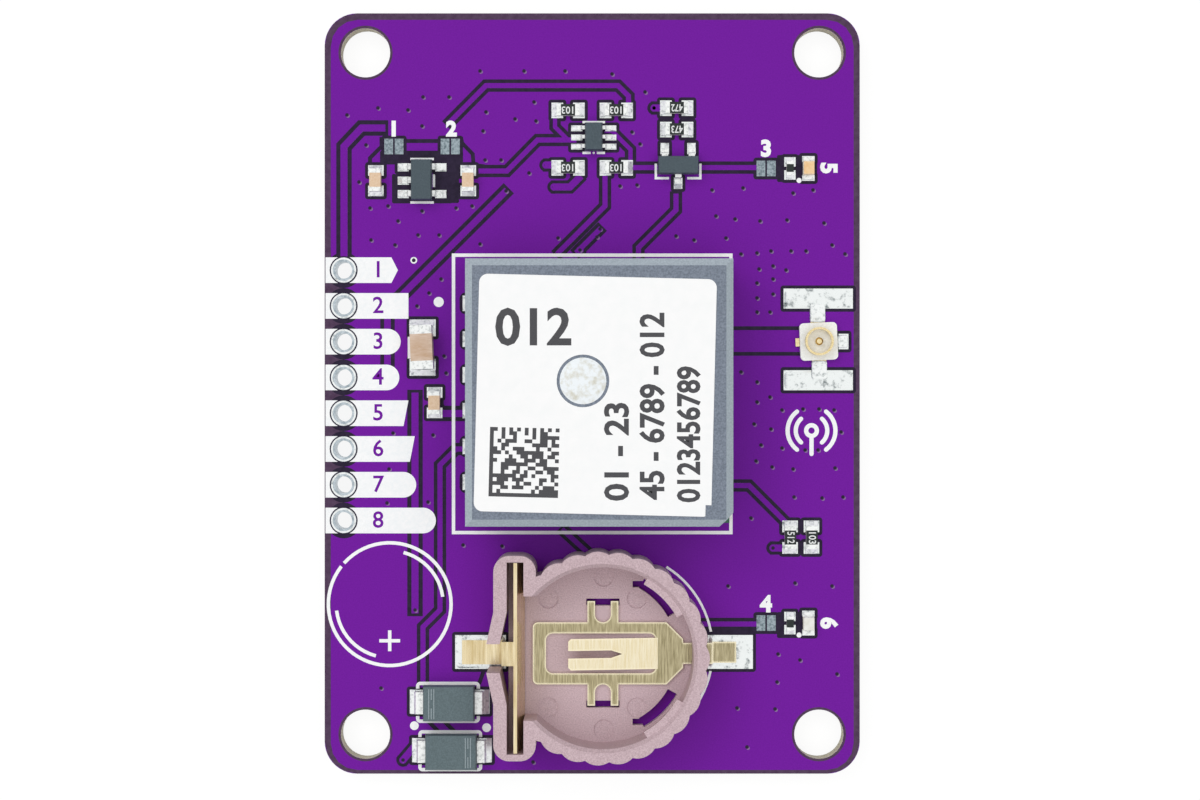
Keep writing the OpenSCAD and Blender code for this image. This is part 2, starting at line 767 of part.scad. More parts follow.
module lead_row(list, size) {
  for (l = list) translate([l[0], l[1], pad_top]) rotate(l[2]) translate([0, l[3], 0])
    gull_lead(l[5], standoff + size[2] / 2, l[4]);
}

module component_pads() {
  color("#c3cacd") {
    for (p = resistors) chip_pads(p, resistor_size, chip_end, pad_free);
    for (p = small_resistors) chip_pads(p, small_resistor_size, small_chip_end, small_pad_free);
    for (p = concat(supply_capacitors, [bypass_capacitor]))
      chip_pads(p, capacitor_size, chip_end, small_pad_free);
    chip_pads([bulk_at[0], bulk_at[1], 90], bulk_size, bulk_end, bulk_pad_free);
    for (p = [power_lamp, pulse_lamp])
      chip_pads(p, lamp_size, chip_end, lamp_pad_free, lamp_pad_side);
    for (l = concat(regulator_leads_at, shifter_leads_at, transistor_leads_at))
      translate([l[0], l[1], board_t]) rotate(l[2]) translate([0, l[3], 0]) lead_pad(l[5], l[4]);
    for (i = [0:1], turn = [0, 180])
      translate([holder_x + diode_x[i], holder_y + diode_y[i], board_t]) rotate(turn)
        translate([diode_size[0] / 2 - diode_pad_under, -diode_lead_w / 2 - pad_side / 2, 0])
          cube([diode_pad_under + diode_lead_reach + pad_free, diode_lead_w + pad_side, pad_t]);
  }
}

// Receiver block

module receiver_lands() {
  color("#b5bcc0") for (s = [-1, 1], i = [0:land_n - 1])
    translate([s * (land_reach - land_l / 2), land_y(i), board_t]) block([land_l, land_w, pad_t]);
}

module receiver_carrier() {
  color("#2f5d46") difference() {
    translate([receiver_at[0], receiver_at[1], carrier_z]) block([receiver_w, receiver_w, carrier_t]);
    for (s = [-1, 1], i = [0:land_n - 1])
      translate([receiver_at[0] + s * receiver_w / 2, land_y(i), carrier_z - eps])
        cylinder(d = notch_d, h = carrier_t + 2 * eps);
    translate([receiver_at[0] + feed_at[0], receiver_at[1] + feed_at[1], carrier_z - eps])
      cylinder(d = feed_d + 2 * feed_clear, h = carrier_t + 2 * eps);
  }
}

// Solder that fills each castellation notch
module receiver_solder() {
  color("#b9c0c4") for (s = [-1, 1], i = [0:land_n - 1])
    translate([receiver_at[0] + s * receiver_w / 2, land_y(i), carrier_z]) intersection() {
      cylinder(d = notch_d, h = carrier_t);
      translate([s > 0 ? -notch_d : 0, -notch_d, 0]) cube([notch_d, 2 * notch_d, carrier_t]);
    }
}

module receiver_shield() {
  color("#b7bdc1") translate([receiver_at[0], receiver_at[1], shield_z]) difference() {
    linear_extrude(shield_h) round_rect([shield_w, shield_w], 2 * shield_t);
    translate([0, 0, -eps]) linear_extrude(shield_h - shield_t + eps)
      round_rect([shield_w - 2 * shield_t, shield_w - 2 * shield_t], shield_t);
    translate([feed_at[0], feed_at[1], 0])
      cylinder(d = feed_d + 2 * feed_shield_clear, h = shield_h + eps);
  }
}

// A part on the receiver's carrier, at a place from the receiver's middle
module on_carrier(at) {
  translate([receiver_at[0] + at[0], receiver_at[1] + at[1], shield_z]) children();
}

module receiver_chip() {
  color("#2b2d30") on_carrier(chip_at) block(chip_size);
}

module receiver_oscillator() {
  lid_t = 0.15;
  rim = 0.15;
  base_h = oscillator_size[2] - lid_t;
  color("#c9c4b0") on_carrier(oscillator_at) {
    block([oscillator_size[0], oscillator_size[1], base_h]);
    translate([0, 0, base_h])
      block([oscillator_size[0] - 2 * rim, oscillator_size[1] - 2 * rim, lid_t]);
  }
}

module receiver_filter() {
  color("#4a4640") on_carrier(filter_at) block(filter_size);
}

module antenna_tape() {
  color("#d8d4c8") translate([receiver_at[0], receiver_at[1], tape_z]) difference() {
    block([tape_w, tape_w, tape_t]);
    translate([feed_at[0], feed_at[1], -eps])
      cylinder(d = feed_d + 2 * feed_shield_clear, h = tape_t + 2 * eps);
  }
}

// Side profile of the antenna: a block with its two top edges chamfered
module patch_profile() {
  w = receiver_w / 2;
  c = patch_chamfer;
  polygon([[-w, 0], [w, 0], [w, patch_h - c], [w - c, patch_h], [c - w, patch_h], [-w, patch_h - c]]);
}

module patch_antenna() {
  w = receiver_w / 2;
  c = patch_corner;
  color("#95a1ac") translate([receiver_at[0], receiver_at[1], patch_z]) difference() {
    intersection() {
      rotate([90, 0, 0]) linear_extrude(receiver_w, center = true) patch_profile();
      rotate([90, 0, 90]) linear_extrude(receiver_w, center = true) patch_profile();
      linear_extrude(patch_h) polygon([[-w, -w], [w - c, -w], [w, c - w], [w, w], [-w, w]]);
    }
    translate([feed_at[0], feed_at[1], -eps])
      cylinder(d = feed_d + 2 * feed_clear, h = patch_h + 2 * eps);
  }
}

module feed_pin() {
  foot = carrier_z;
  color("#a9afb2") translate([receiver_at[0] + feed_at[0], receiver_at[1] + feed_at[1], foot])
    cylinder(d = feed_d, h = patch_top - foot + feed_dome_h);
}

// Solder dome on the antenna, round the pin's top
module feed_solder() {
  base_r = feed_dome_d / 2;
  ball_r = (base_r * base_r + feed_dome_h * feed_dome_h) / (2 * feed_dome_h);
  color("#c6cacc") translate([receiver_at[0] + feed_at[0], receiver_at[1] + feed_at[1], patch_top])
    difference() {
      intersection() {
        translate([0, 0, feed_dome_h - ball_r]) sphere(ball_r, $fn = 96);
        cylinder(r = base_r + eps, h = feed_dome_h);
      }
      translate([0, 0, -eps]) cylinder(d = feed_d, h = feed_dome_h + 2 * eps);
    }
}

module receiver_label() {
  notch = [0.4, 0.8];
  color("#f4f5f5") translate([receiver_at[0], receiver_at[1], patch_top]) difference() {
    translate(label_off) rotate(label_turn) linear_extrude(label_t) difference() {
      round_rect([label_w, label_w], label_r);
      translate([label_w / 2, -label_w / 2]) square(2 * notch, center = true);
    }
    translate([feed_at[0], feed_at[1], -eps]) cylinder(d = label_hole_d, h = label_t + 2 * eps);
  }
}

// Coin-cell holder

module at_holder() {
  translate([holder_x, holder_y, board_t]) children();
}

// Plan of the holder: a ring of grip lobes beside a straight block
module holder_plan() {
  circle(ring_r - lobe_r / 4);
  for (i = [0:lobe_n - 1]) rotate(i * 360 / lobe_n) translate([ring_r - lobe_r, 0]) circle(lobe_r);
  translate([(block_x0 + block_x1) / 2, 0]) round_rect([block_x1 - block_x0, 2 * block_half], block_r);
}

// One arm of the cut outer wall, leaning away from the slot, with its foot clear of the pad
module holder_arm() {
  translate([0, 0, arm_lift]) linear_extrude(holder_h - arm_lift) polygon([
    [block_x0, arm_half], [slot_x0, arm_half],
    [slot_x0 - arm_lean, arm_gap], [block_x0 - arm_lean, arm_gap]
  ]);
}

// Retaining lip over the pocket, and the relief through the floor under it
module retaining_lip() {
  rotate(lip_from) rotate_extrude(angle = lip_turn)
    translate([pocket_r - lip_reach, holder_h - mouth_chamfer - lip_h])
      square([lip_reach + ring_wall / 4, lip_h]);
}

module lip_relief() {
  inner_r = pocket_r - relief_w - relief_inset;
  end = lip_from + lip_turn;
  rotate(lip_from) rotate_extrude(angle = lip_turn)
    translate([inner_r, -eps]) square([relief_w, floor_t + 2 * eps]);
  translate([inner_r * cos(end) - relief_leg, inner_r * sin(end) + relief_gap, -eps])
    cube([2 * relief_leg, relief_leg, floor_t + 2 * eps]);
}

module holder_body() {
  color("#cdb6bb") at_holder() {
    difference() {
      linear_extrude(holder_h) holder_plan();
      translate([0, 0, floor_t]) cylinder(r = pocket_r, h = holder_h, $fn = 96);
      translate([0, 0, holder_h - mouth_chamfer])
        cylinder(r1 = pocket_r, r2 = pocket_r + mouth_chamfer, h = mouth_chamfer, $fn = 96);
      translate([slot_x1 - eps, -mouth_half, floor_t]) cube([pocket_r / 2, 2 * mouth_half, holder_h]);
      translate([slot_x0, -slot_half, floor_t]) cube([slot_w, 2 * slot_half, holder_h]);
      translate([block_x0 - 1, -arm_half, -eps])
        cube([slot_x0 - block_x0 + 1, 2 * arm_half, holder_h + 2 * eps]);
      translate([pocket_r / 2, -tail_half - tail_clear, floor_t])
        cube([ring_r, 2 * (tail_half + tail_clear), tail_window_h]);
      for (s = [0, 1]) mirror([0, s, 0]) {
        lip_relief();
        translate([-lug_half - lug_clear, plate_half + lug_reach - contact_t - lug_clear, -eps])
          cube([2 * (lug_half + lug_clear), contact_t + 3 * lug_clear, floor_t + 2 * eps]);
        for (m = marks) translate([m[0], m[1], floor_t - mark_depth])
          cylinder(d = mark_d, h = mark_depth + eps);
      }
    }
    for (s = [0, 1]) mirror([0, s, 0]) {
      holder_arm();
      retaining_lip();
    }
  }
}

// Leaning upright strip, with a link and a tab that lies on the left pad
module holder_positive_contact() {
  strip_z = floor_t + strip_lift;
  strip_top = holder_h - strip_drop;
  top_x = slot_x1 - strip_lean;
  t = contact_t;
  z = pad_t;
  tab_end = link_x - plus_tab_l;
  color("#d8b25c") at_holder() {
    rotate([90, 0, 0]) linear_extrude(2 * strip_half, center = true) polygon([
      [slot_x1 - t, strip_z], [slot_x1, strip_z], [top_x, strip_top], [top_x - t, strip_top]
    ]);
    rotate([90, 0, 0]) linear_extrude(2 * plus_tab_half, center = true) polygon([
      [tab_end, z], [link_x, z], [link_x, link_h], [slot_x1 - t / 2, link_h],
      [slot_x1 - t / 2, link_h + t], [link_x - t, link_h + t], [link_x - t, z + t], [tab_end, z + t]
    ]);
  }
}

// Plan of the negative plate, with its window
module plate_plan() {
  taper_x = plate_right + plate_taper;
  taper_half = plate_half - plate_taper;
  r = plate_r;
  difference() {
    union() {
      polygon([
        [r - plate_left, -plate_half], [plate_right, -plate_half], [taper_x, -taper_half],
        [taper_x, -tail_half], [riser_x, -tail_half], [riser_x, tail_half], [taper_x, tail_half],
        [taper_x, taper_half], [plate_right, plate_half], [r - plate_left, plate_half],
        [-plate_left, plate_half - r], [-plate_left, r - plate_half]
      ]);
      for (s = [-1, 1]) translate([r - plate_left, s * (plate_half - r)]) circle(r);
    }
    translate([(window_right - window_left) / 2, 0])
      round_rect([window_left + window_right, 2 * window_half], window_r);
  }
}

// Two-pronged lug with a round gap, whose bent ends hook through the floor
module plate_lug() {
  l = lug_reach + lug_overlap;
  gap_r = lug_half - lug_prong;
  gap_y = lug_overlap + gap_r;
  translate([0, plate_half - lug_overlap, 0]) {
    linear_extrude(contact_t) difference() {
      translate([-lug_half, 0]) square([2 * lug_half, l]);
      translate([0, gap_y]) circle(gap_r);
      translate([-gap_r, gap_y]) square([2 * gap_r, l]);
    }
    for (s = [-1, 1])
      translate([s * (lug_half - lug_prong / 2) - lug_prong / 2, l - contact_t, -lug_drop])
        cube([lug_prong, contact_t, lug_drop + eps]);
  }
}

// Plan of the spring tongue: two fingers with clipped tips, and a slit that ends in a point
module tongue_plan() {
  tip = -tongue_l;
  h = tongue_half;
  s = slit_w / 2;
  slit_end = tip + slit_l;
  polygon([
    [0, -h], [0, h], [tip + tip_clip, h], [tip, h - tip_clip], [tip, s], [slit_end - slit_point, s],
    [slit_end, 0], [slit_end - slit_point, -s], [tip, -s], [tip, tip_clip - h], [tip + tip_clip, -h]
  ]);
}

module holder_negative_contact() {
  t = contact_t;
  tab_end = riser_x + t + minus_tab_l;
  color("#d8b25c") at_holder() translate([0, 0, floor_t]) {
    linear_extrude(t) plate_plan();
    for (s = [0, 1]) mirror([0, s, 0]) plate_lug();
    translate([window_right + tongue_root, 0, 0]) rotate([0, tongue_rise, 0])
      linear_extrude(t) tongue_plan();
    rotate([90, 0, 0]) linear_extrude(2 * tail_half, center = true) polygon([
      [riser_x - eps, 0], [riser_x, pad_t - floor_t], [tab_end, pad_t - floor_t],
      [tab_end, pad_t - floor_t + t], [riser_x + t, pad_t - floor_t + t], [riser_x + t, t],
      [riser_x - eps, t]
    ]);
  }
}

module holder_pads() {
  left_l = plus_tab_l + plus_pad_over;
  right_l = minus_tab_l + minus_pad_over;
  color("#bcc4c8") at_holder() {
    translate([link_x - left_l, -holder_pad_half, 0]) cube([left_l, 2 * holder_pad_half, pad_t]);
    translate([ring_r + minus_pad_gap, -holder_pad_half, 0]) cube([right_l, 2 * holder_pad_half, pad_t]);
  }
}

// Moulded parts and their leads

module diode_at(i) {
  translate([holder_x + diode_x[i], holder_y + diode_y[i], pad_top]) children();
}

module diode_body(i) {
  color("#5d6d73") diode_at(i) translate([0, 0, diode_lead_t + standoff])
    moulded(diode_size, diode_lead_t);
}

module diode_leads(i) {
  mid_z = diode_lead_t + standoff + diode_size[2] / 2;
  color("#c2c8ca") diode_at(i) for (turn = [0, 180]) rotate(turn) hook_lead(diode_size[0] / 2, mid_z);
}

module input_diode_body() {
  diode_body(0);
}

module input_diode_leads() {
  diode_leads(0);
}

module backup_diode_body() {
  diode_body(1);
}

module backup_diode_leads() {
  diode_leads(1);
}

module regulator_body() {
  color("#4d5a60") translate([regulator_x, regulator_y, pad_top + standoff]) moulded(regulator_size, lead_t);
}

module regulator_leads() {
  color("#c2c8ca") lead_row(regulator_leads_at, regulator_size);
}

module shifter_body() {
  color("#4d5a60") translate([shifter_x, shifter_y, pad_top + standoff]) moulded(shifter_size, lead_t);
}

module shifter_leads() {
  color("#c2c8ca") lead_row(shifter_leads_at, shifter_size);
}

module transistor_body() {
  color("#4d5a60") translate([transistor_x, transistor_y, pad_top + standoff]) rotate(90)
    moulded(transistor_size, lead_t);
}

module transistor_leads() {
  color("#c2c8ca") lead_row(transistor_leads_at, transistor_size);
}

// Chips

module resistor_cores() {
  color("#e8e6dd") {
    for (p = resistors) on_pads(p) chip_core(resistor_size, chip_end, resistor_size[2] - coat_t);
    for (p = small_resistors) on_pads(p)
      chip_core(small_resistor_size, small_chip_end, small_resistor_size[2] - coat_t);
  }
}

module resistor_coats() {
  color("#15211f") {
    for (p = resistors) on_pads(p) translate([0, 0, resistor_size[2] - coat_t])
      chip_core(resistor_size, chip_end, coat_t);
    for (p = small_resistors) on_pads(p) translate([0, 0, small_resistor_size[2] - coat_t])
      chip_core(small_resistor_size, small_chip_end, coat_t);
  }
}

module resistor_ends() {
  color("#d5d8d6") {
    for (p = resistors) on_pads(p) chip_ends(resistor_size, chip_end);
    for (p = small_resistors) on_pads(p) chip_ends(small_resistor_size, small_chip_end);
  }
}

module regulator_capacitor_bodies() {
  color("#e3bd94") for (p = supply_capacitors) on_pads(p)
    chip_core(capacitor_size, chip_end, capacitor_size[2]);
}

module regulator_capacitor_ends() {
  color("#d5d8d6") for (p = supply_capacitors) on_pads(p) chip_ends(capacitor_size, chip_end);
}

module bulk_capacitor_body() {
  color("#d9bfae") on_pads(bulk_capacitor) chip_core(bulk_size, bulk_end, bulk_size[2]);
}

module bulk_capacitor_ends() {
  color("#d5d8d6") on_pads(bulk_capacitor) chip_ends(bulk_size, bulk_end);
}

module bypass_capacitor_body() {
  color("#e3bd94") on_pads(bypass_capacitor) chip_core(capacitor_size, chip_end, capacitor_size[2]);
}

module bypass_capacitor_ends() {
  color("#d5d8d6") on_pads(bypass_capacitor) chip_ends(capacitor_size, chip_end);
}

module lamp_bases() {
  color("#eeeae0") for (p = [power_lamp, pulse_lamp]) on_pads(p)
    chip_core(lamp_size, chip_end, lamp_size[2]);
}

// Lens of a lamp: a low block with sloping ends
module lamp_lens(place) {
  half = lamp_size[0] / 2 - chip_end;
  on_pads(place) translate([0, 0, lamp_size[2]])
    rotate([90, 0, 0]) linear_extrude(lamp_size[1] - 2 * lens_edge, center = true)
      polygon([[-half, 0], [half, 0], [half - lens_slope, lens_h], [lens_slope - half, lens_h]]);
}

module power_lamp_lens() {
  color("#f2b777") lamp_lens(power_lamp);
}

module pulse_lamp_lens() {
  color("#efe9d8") lamp_lens(pulse_lamp);
}

module lamp_ends() {
  color("#d5d8d6") for (p = [power_lamp, pulse_lamp]) on_pads(p) chip_ends(lamp_size, chip_end);
}

// Antenna jack

module at_jack() {
  translate([jack_x, jack_y, board_t]) rotate(jack_turn) children();
}

// Plan of the shell's ground tails: up, down, and a short one on the left
module ground_tail_plan() {
  reach = (ground_pad_gap - ground_pad[1]) / 2 + ground_tail_over;
  for (turn = [0, 180]) rotate(turn)
    translate([-ground_tail_w / 2, tail_root_r]) square([ground_tail_w, reach - tail_root_r]);
  translate([-jack_w / 2 - left_tail_over, -left_tail_w / 2])
    square([jack_w / 2 + left_tail_over - tail_root_r, left_tail_w]);
}

// Plan of the pin's tail, to the signal pad on the right
module signal_tail_plan() {
  translate([0, -signal_tail_w / 2]) square([jack_w / 2 + signal_tail_over, signal_tail_w]);
}

module jack_base() {
  color("#efe6d2") at_jack() difference() {
    linear_extrude(jack_base_h) round_rect([jack_w, jack_w], jack_r);
    translate([0, 0, pad_t]) difference() {
      cylinder(d = shell_d, h = jack_base_h);
      translate([0, 0, -eps]) cylinder(r = shell_in_r, h = jack_base_h + 2 * eps);
    }
    cylinder(d = pin_d, h = jack_base_h + eps);
    translate([0, 0, -eps]) linear_extrude(pad_t + tail_t + eps) {
      ground_tail_plan();
      signal_tail_plan();
    }
  }
}

// Round shell with its snap groove, its ground tails and a notch over the pin's tail
module jack_shell() {
  r = shell_d / 2;
  d = groove_depth;
  notch_w = signal_tail_w + 2 * tail_notch;
  color("#d9b865") at_jack() {
    difference() {
      rotate_extrude() polygon([
        [shell_in_r, pad_t], [r, pad_t], [r, groove_z], [r - d, groove_z + d],
        [r - d, groove_z + 2 * d], [r, groove_z + 3 * d], [r, shell_h], [shell_in_r, shell_h]
      ]);
      translate([0, -notch_w / 2, 0]) cube([shell_d, notch_w, pad_t + tail_t + tail_notch]);
    }
    translate([0, 0, pad_t]) linear_extrude(tail_t) ground_tail_plan();
  }
}

module jack_pin() {
  r = pin_d / 2;
  color("#d9b865") at_jack() {
    rotate_extrude() polygon([
      [0, pad_t], [r, pad_t], [r, pin_h - pin_tip], [r - pin_tip, pin_h], [0, pin_h]
    ]);
    translate([0, 0, pad_t]) linear_extrude(tail_t) signal_tail_plan();
  }
}

module jack_pads() {
  color("#bcc4c8") translate([jack_x, jack_y, board_t]) {
    for (s = [-1, 1]) translate([0, ground_pad_shift + s * ground_pad_gap / 2, 0])
      block([ground_pad[0], ground_pad[1], pad_t]);
    translate([jack_w / 2 + signal_pad_gap + signal_pad[0] / 2, 0, 0])
      block([signal_pad[0], signal_pad[1], pad_t]);
  }
}

board();
white_print();
header_barrels();
component_pads();
jumper_pads();
receiver_lands();
receiver_carrier();
receiver_solder();
receiver_shield();
receiver_chip();
receiver_oscillator();
receiver_filter();
antenna_tape();
patch_antenna();
feed_pin();
feed_solder();
receiver_label();
holder_body();
holder_positive_contact();
holder_negative_contact();
holder_pads();
input_diode_body();
input_diode_leads();
backup_diode_body();
backup_diode_leads();
regulator_body();
regulator_leads();
shifter_body();
shifter_leads();
transistor_body();
transistor_leads();
resistor_cores();
resistor_coats();
resistor_ends();
regulator_capacitor_bodies();
regulator_capacitor_ends();
bulk_capacitor_body();
bulk_capacitor_ends();
bypass_capacitor_body();
bypass_capacitor_ends();
lamp_bases();
power_lamp_lens();
pulse_lamp_lens();
lamp_ends();
jack_base();
jack_shell();
jack_pin();
jack_pads();
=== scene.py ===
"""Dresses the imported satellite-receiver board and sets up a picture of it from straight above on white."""
import json
import logging
import math
import random
from dataclasses import dataclass, field
from enum import Enum
from functools import cache
from typing import Any, Callable, ClassVar, Sequence

import bmesh
import bpy
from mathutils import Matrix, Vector

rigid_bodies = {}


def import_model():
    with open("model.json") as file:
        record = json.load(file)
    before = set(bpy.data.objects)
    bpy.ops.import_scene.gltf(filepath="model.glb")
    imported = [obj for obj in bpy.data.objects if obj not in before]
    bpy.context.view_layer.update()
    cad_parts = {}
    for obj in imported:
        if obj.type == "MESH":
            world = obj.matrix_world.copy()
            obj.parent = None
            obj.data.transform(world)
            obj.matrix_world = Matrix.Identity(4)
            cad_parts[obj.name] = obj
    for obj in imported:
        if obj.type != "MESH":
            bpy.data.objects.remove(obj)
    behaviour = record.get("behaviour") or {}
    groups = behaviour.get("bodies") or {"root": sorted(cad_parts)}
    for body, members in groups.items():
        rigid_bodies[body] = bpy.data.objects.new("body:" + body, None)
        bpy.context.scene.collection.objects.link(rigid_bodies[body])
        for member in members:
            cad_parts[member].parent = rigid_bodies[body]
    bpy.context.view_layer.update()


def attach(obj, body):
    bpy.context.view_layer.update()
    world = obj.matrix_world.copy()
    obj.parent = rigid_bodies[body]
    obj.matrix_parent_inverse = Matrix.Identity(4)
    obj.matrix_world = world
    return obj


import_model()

LOG = logging.getLogger("receiver_board")
MM = 0.001
# A hair in mm that keeps flat shapes that cross each other out of one plane.
STAGGER = 0.0001
# How far in mm a thin sheet reaches into what carries it.
SINK = 0.01
# The photo's scale at the board's face, and the pixels of the board's and the picture's middle.
PX_PER_MM = 14.08
PHOTO_ORIGIN = (592.2, 393.5)
PHOTO_MIDDLE = (600.0, 400.0)
# The board's upper face and its header row in mm, which the copper and the print share.
BOARD_TOP = 1.6
HEADER_X = -17.65
HEADER_Y = 8.76
PITCH = 2.54
HEADER_COUNT = 8
# Height of a figure as a share of its font's size.
FIGURE_SHARE = 0.7
# Band spacing of a wave texture at scale 1.
WAVE_SPACING = 0.314

Point = tuple[float, float]
Route = Sequence[Point]
Tree = bpy.types.NodeTree
Socket = bpy.types.NodeSocket
Piece = bpy.types.Object


class Side(Enum):
    """What the faces that don't lie flat show."""

    LAYERS = "layers"
    GRAIN = "grain"


class Axis(Enum):
    """The way a number lies on the board."""

    ACROSS = 0.0
    UP = math.pi / 2
    OVER = math.pi
    DOWN = -math.pi / 2


def at(px: float, py: float) -> Point:
    """Returns the place in mm on the board's face of a point read off the photo."""
    return (px - PHOTO_ORIGIN[0]) / PX_PER_MM, (PHOTO_ORIGIN[1] - py) / PX_PER_MM


def header_place(i: int) -> Point:
    """Returns the middle in mm of a header hole, counted from the top."""
    return HEADER_X, HEADER_Y - i * PITCH


def linear(colour: str) -> tuple[float, float, float, float]:
    """Turns an sRGB hex colour into linear light.

    Args:
        colour: the hex value after its sign.

    Returns:
        Red, green and blue, with full alpha.
    """
    parts = [int(colour[i:i + 2], 16) / 255 for i in (1, 3, 5)]
    low = [c / 12.92 if c <= 0.04045 else ((c + 0.055) / 1.055) ** 2.4 for c in parts]
    return low[0], low[1], low[2], 1.0


def empty_tree(owner: bpy.types.Material | bpy.types.World) -> Tree:
    """Clears the node tree of a new material or world.

    Args:
        owner: the material or the world.

    Returns:
        Its tree, without nodes.
    """
    owner.use_nodes = True
    owner.node_tree.nodes.clear()
    return owner.node_tree


def add_node(tree: Tree, kind: str, inputs: dict[Any, Any] | None = None,
             stops: Sequence[tuple[float, str]] = (), **settings: Any) -> bpy.types.Node:
    """Adds one node to a tree.

    Args:
        tree: the tree that takes the node.
        kind: the node's type name.
        inputs: a value or an output socket for each input named or numbered.
        stops: places and hex colours where the node is a ramp.
        settings: the node's own properties.

    Returns:
        The new node.
    """
    node = tree.nodes.new(kind)
    for name, value in settings.items():
        setattr(node, name, value)
    for name, value in (inputs or {}).items():
        if isinstance(value, Socket):
            tree.links.new(value, node.inputs[name])
        else:
            node.inputs[name].default_value = value
    for i, (place, colour) in enumerate(stops):
        ramp = node.color_ramp.elements
        stop = ramp[i] if i < 2 else ramp.new(place)
        stop.position = place
        stop.color = linear(colour)
    return node


@dataclass(frozen=True)
class Finish:
    """A surface with a drifting tone, an uneven sheen and a fine relief, all in real millimetres."""

    name: str
    light: str
    dark: str
    tone_mm: float
    rough: float
    rough_swing: float = 0.06
    metallic: float = 0.0
    tone_range: Point = (0.35, 0.65)
    relief_mm: float = 0.0
    relief_size_mm: float = 0.1
    stretch: tuple[float, float, float] = (1.0, 1.0, 1.0)
    coat: float = 0.0
    specular: float = 0.5
    # edge: the colour of a painted highlight along rounded edges, empty for none.
    edge: str = ""
    edge_mm: float = 0.12
    edge_fade: Point = (0.98, 0.86)

    def make(self) -> bpy.types.Material:
        """Builds the finish from nodes on Object coordinates.

        Returns:
            The new material.
        """
        material = bpy.data.materials.new(self.name)
        tree = empty_tree(material)
        place = add_node(tree, "ShaderNodeTexCoord").outputs["Object"]
        drawn = add_node(tree, "ShaderNodeMapping", {"Vector": place, "Scale": self.stretch})
        tone = add_node(tree, "ShaderNodeTexNoise", {
            "Vector": drawn.outputs["Vector"], "Scale": 1 / (self.tone_mm * MM), "Detail": 5.0,
            "Roughness": 0.6})
        colour = self.colour(tree, tone.outputs["Fac"], place)
        # A painted highlight along the edges, where the finish asks for one.
        if self.edge:
            colour = self.bright_edge(tree, colour)
        sheen = add_node(tree, "ShaderNodeMapRange", {
            "Value": tone.outputs["Fac"], "From Min": 0.3, "From Max": 0.7,
            "To Min": self.rough + self.rough_swing, "To Max": self.rough - self.rough_swing})
        surface: dict[str, Any] = {
            "Base Color": colour, "Roughness": sheen.outputs["Result"], "Metallic": self.metallic,
            "Coat Weight": self.coat, "Coat Roughness": 0.12, "Specular IOR Level": self.specular}
        if self.relief_mm:
            grain = add_node(tree, "ShaderNodeTexNoise", {
                "Vector": drawn.outputs["Vector"], "Scale": 1 / (self.relief_size_mm * MM), "Detail": 3.0})
            bump = add_node(tree, "ShaderNodeBump", {
                "Height": grain.outputs["Fac"], "Distance": self.relief_mm * MM, "Strength": 1.0})
            surface["Normal"] = bump.outputs["Normal"]
        shader = add_node(tree, "ShaderNodeBsdfPrincipled", surface)
        add_node(tree, "ShaderNodeOutputMaterial", {"Surface": shader.outputs["BSDF"]})
        return material

    def colour(self, tree: Tree, tone: Socket, place: Socket) -> Socket:
        """Returns the colour that the drifting tone gives."""
        stops = ((self.tone_range[0], self.dark), (self.tone_range[1], self.light))
        return add_node(tree, "ShaderNodeValToRGB", {"Fac": tone}, stops).outputs["Color"]

    def bright_edge(self, tree: Tree, colour: Socket) -> Socket:
        """Paints a highlight line along the rounded edges of a sheet.

        Args:
            tree: the material's tree.
            colour: the sheet's colour so far.

        Returns:
            The colour with the painted highlight.
        """
        rolled = add_node(tree, "ShaderNodeBevel", {"Radius": self.edge_mm * MM}, samples=6)
        plain = add_node(tree, "ShaderNodeNewGeometry")
        alike = add_node(tree, "ShaderNodeVectorMath", {
            0: rolled.outputs["Normal"], 1: plain.outputs["Normal"]}, operation="DOT_PRODUCT")
        line = add_node(tree, "ShaderNodeMapRange", {
            "Value": alike.outputs["Value"], "From Min": self.edge_fade[0], "From Max": self.edge_fade[1]})
        mix = add_node(tree, "ShaderNodeMix", {
            0: line.outputs["Result"], 6: colour, 7: linear(self.edge)}, data_type="RGBA")
        return mix.outputs[2]


@dataclass(frozen=True)
class EdgedFinish(Finish):
    """A finish whose flat faces differ from its sides and slopes."""

    side_light: str = "#e4dcc6"
    side_dark: str = "#c6bca2"
    side_mm: float = 0.2
    side: Side = Side.LAYERS
    flat_range: Point = (0.85, 0.95)

    def colour(self, tree: Tree, tone: Socket, place: Socket) -> Socket:
        """Mixes the flat faces' colour with the sides' own, by the way a face looks; on the gold sheet the
        sides' pale colour is a painted highlight.

        Args:
            tree: the material's tree.
            tone: the drifting tone.
            place: the Object coordinates.

        Returns:
            The mixed colour.
        """
        face = super().colour(tree, tone, place)
        pattern = tone
        if self.side is Side.LAYERS:
            pattern = add_node(tree, "ShaderNodeTexWave", {
                "Vector": place, "Scale": WAVE_SPACING / (self.side_mm * MM), "Distortion": 2.0,
                "Detail": 2.0}, bands_direction="Z").outputs["Fac"]
        side = add_node(tree, "ShaderNodeValToRGB", {"Fac": pattern},
                        ((0.25, self.side_dark), (0.75, self.side_light)))
        facing = add_node(tree, "ShaderNodeTexCoord").outputs["Normal"]
        parts = add_node(tree, "ShaderNodeSeparateXYZ", {"Vector": facing})
        upright = add_node(tree, "ShaderNodeMath", {0: parts.outputs["Z"]}, operation="ABSOLUTE")
        flat = add_node(tree, "ShaderNodeMapRange", {
            "Value": upright.outputs["Value"], "From Min": self.flat_range[0],
            "From Max": self.flat_range[1]})
        mix = add_node(tree, "ShaderNodeMix", {
            0: flat.outputs["Result"], 6: side.outputs["Color"], 7: face}, data_type="RGBA")
        return mix.outputs[2]


# Semi-gloss purple mask over copper, with the fine speckle of its pigment.
MASK = EdgedFinish("purple_solder_mask", "#7618a3", "#6c1498", tone_mm=0.1, rough=0.45,
                   relief_mm=0.002, relief_size_mm=0.4, specular=0.15)
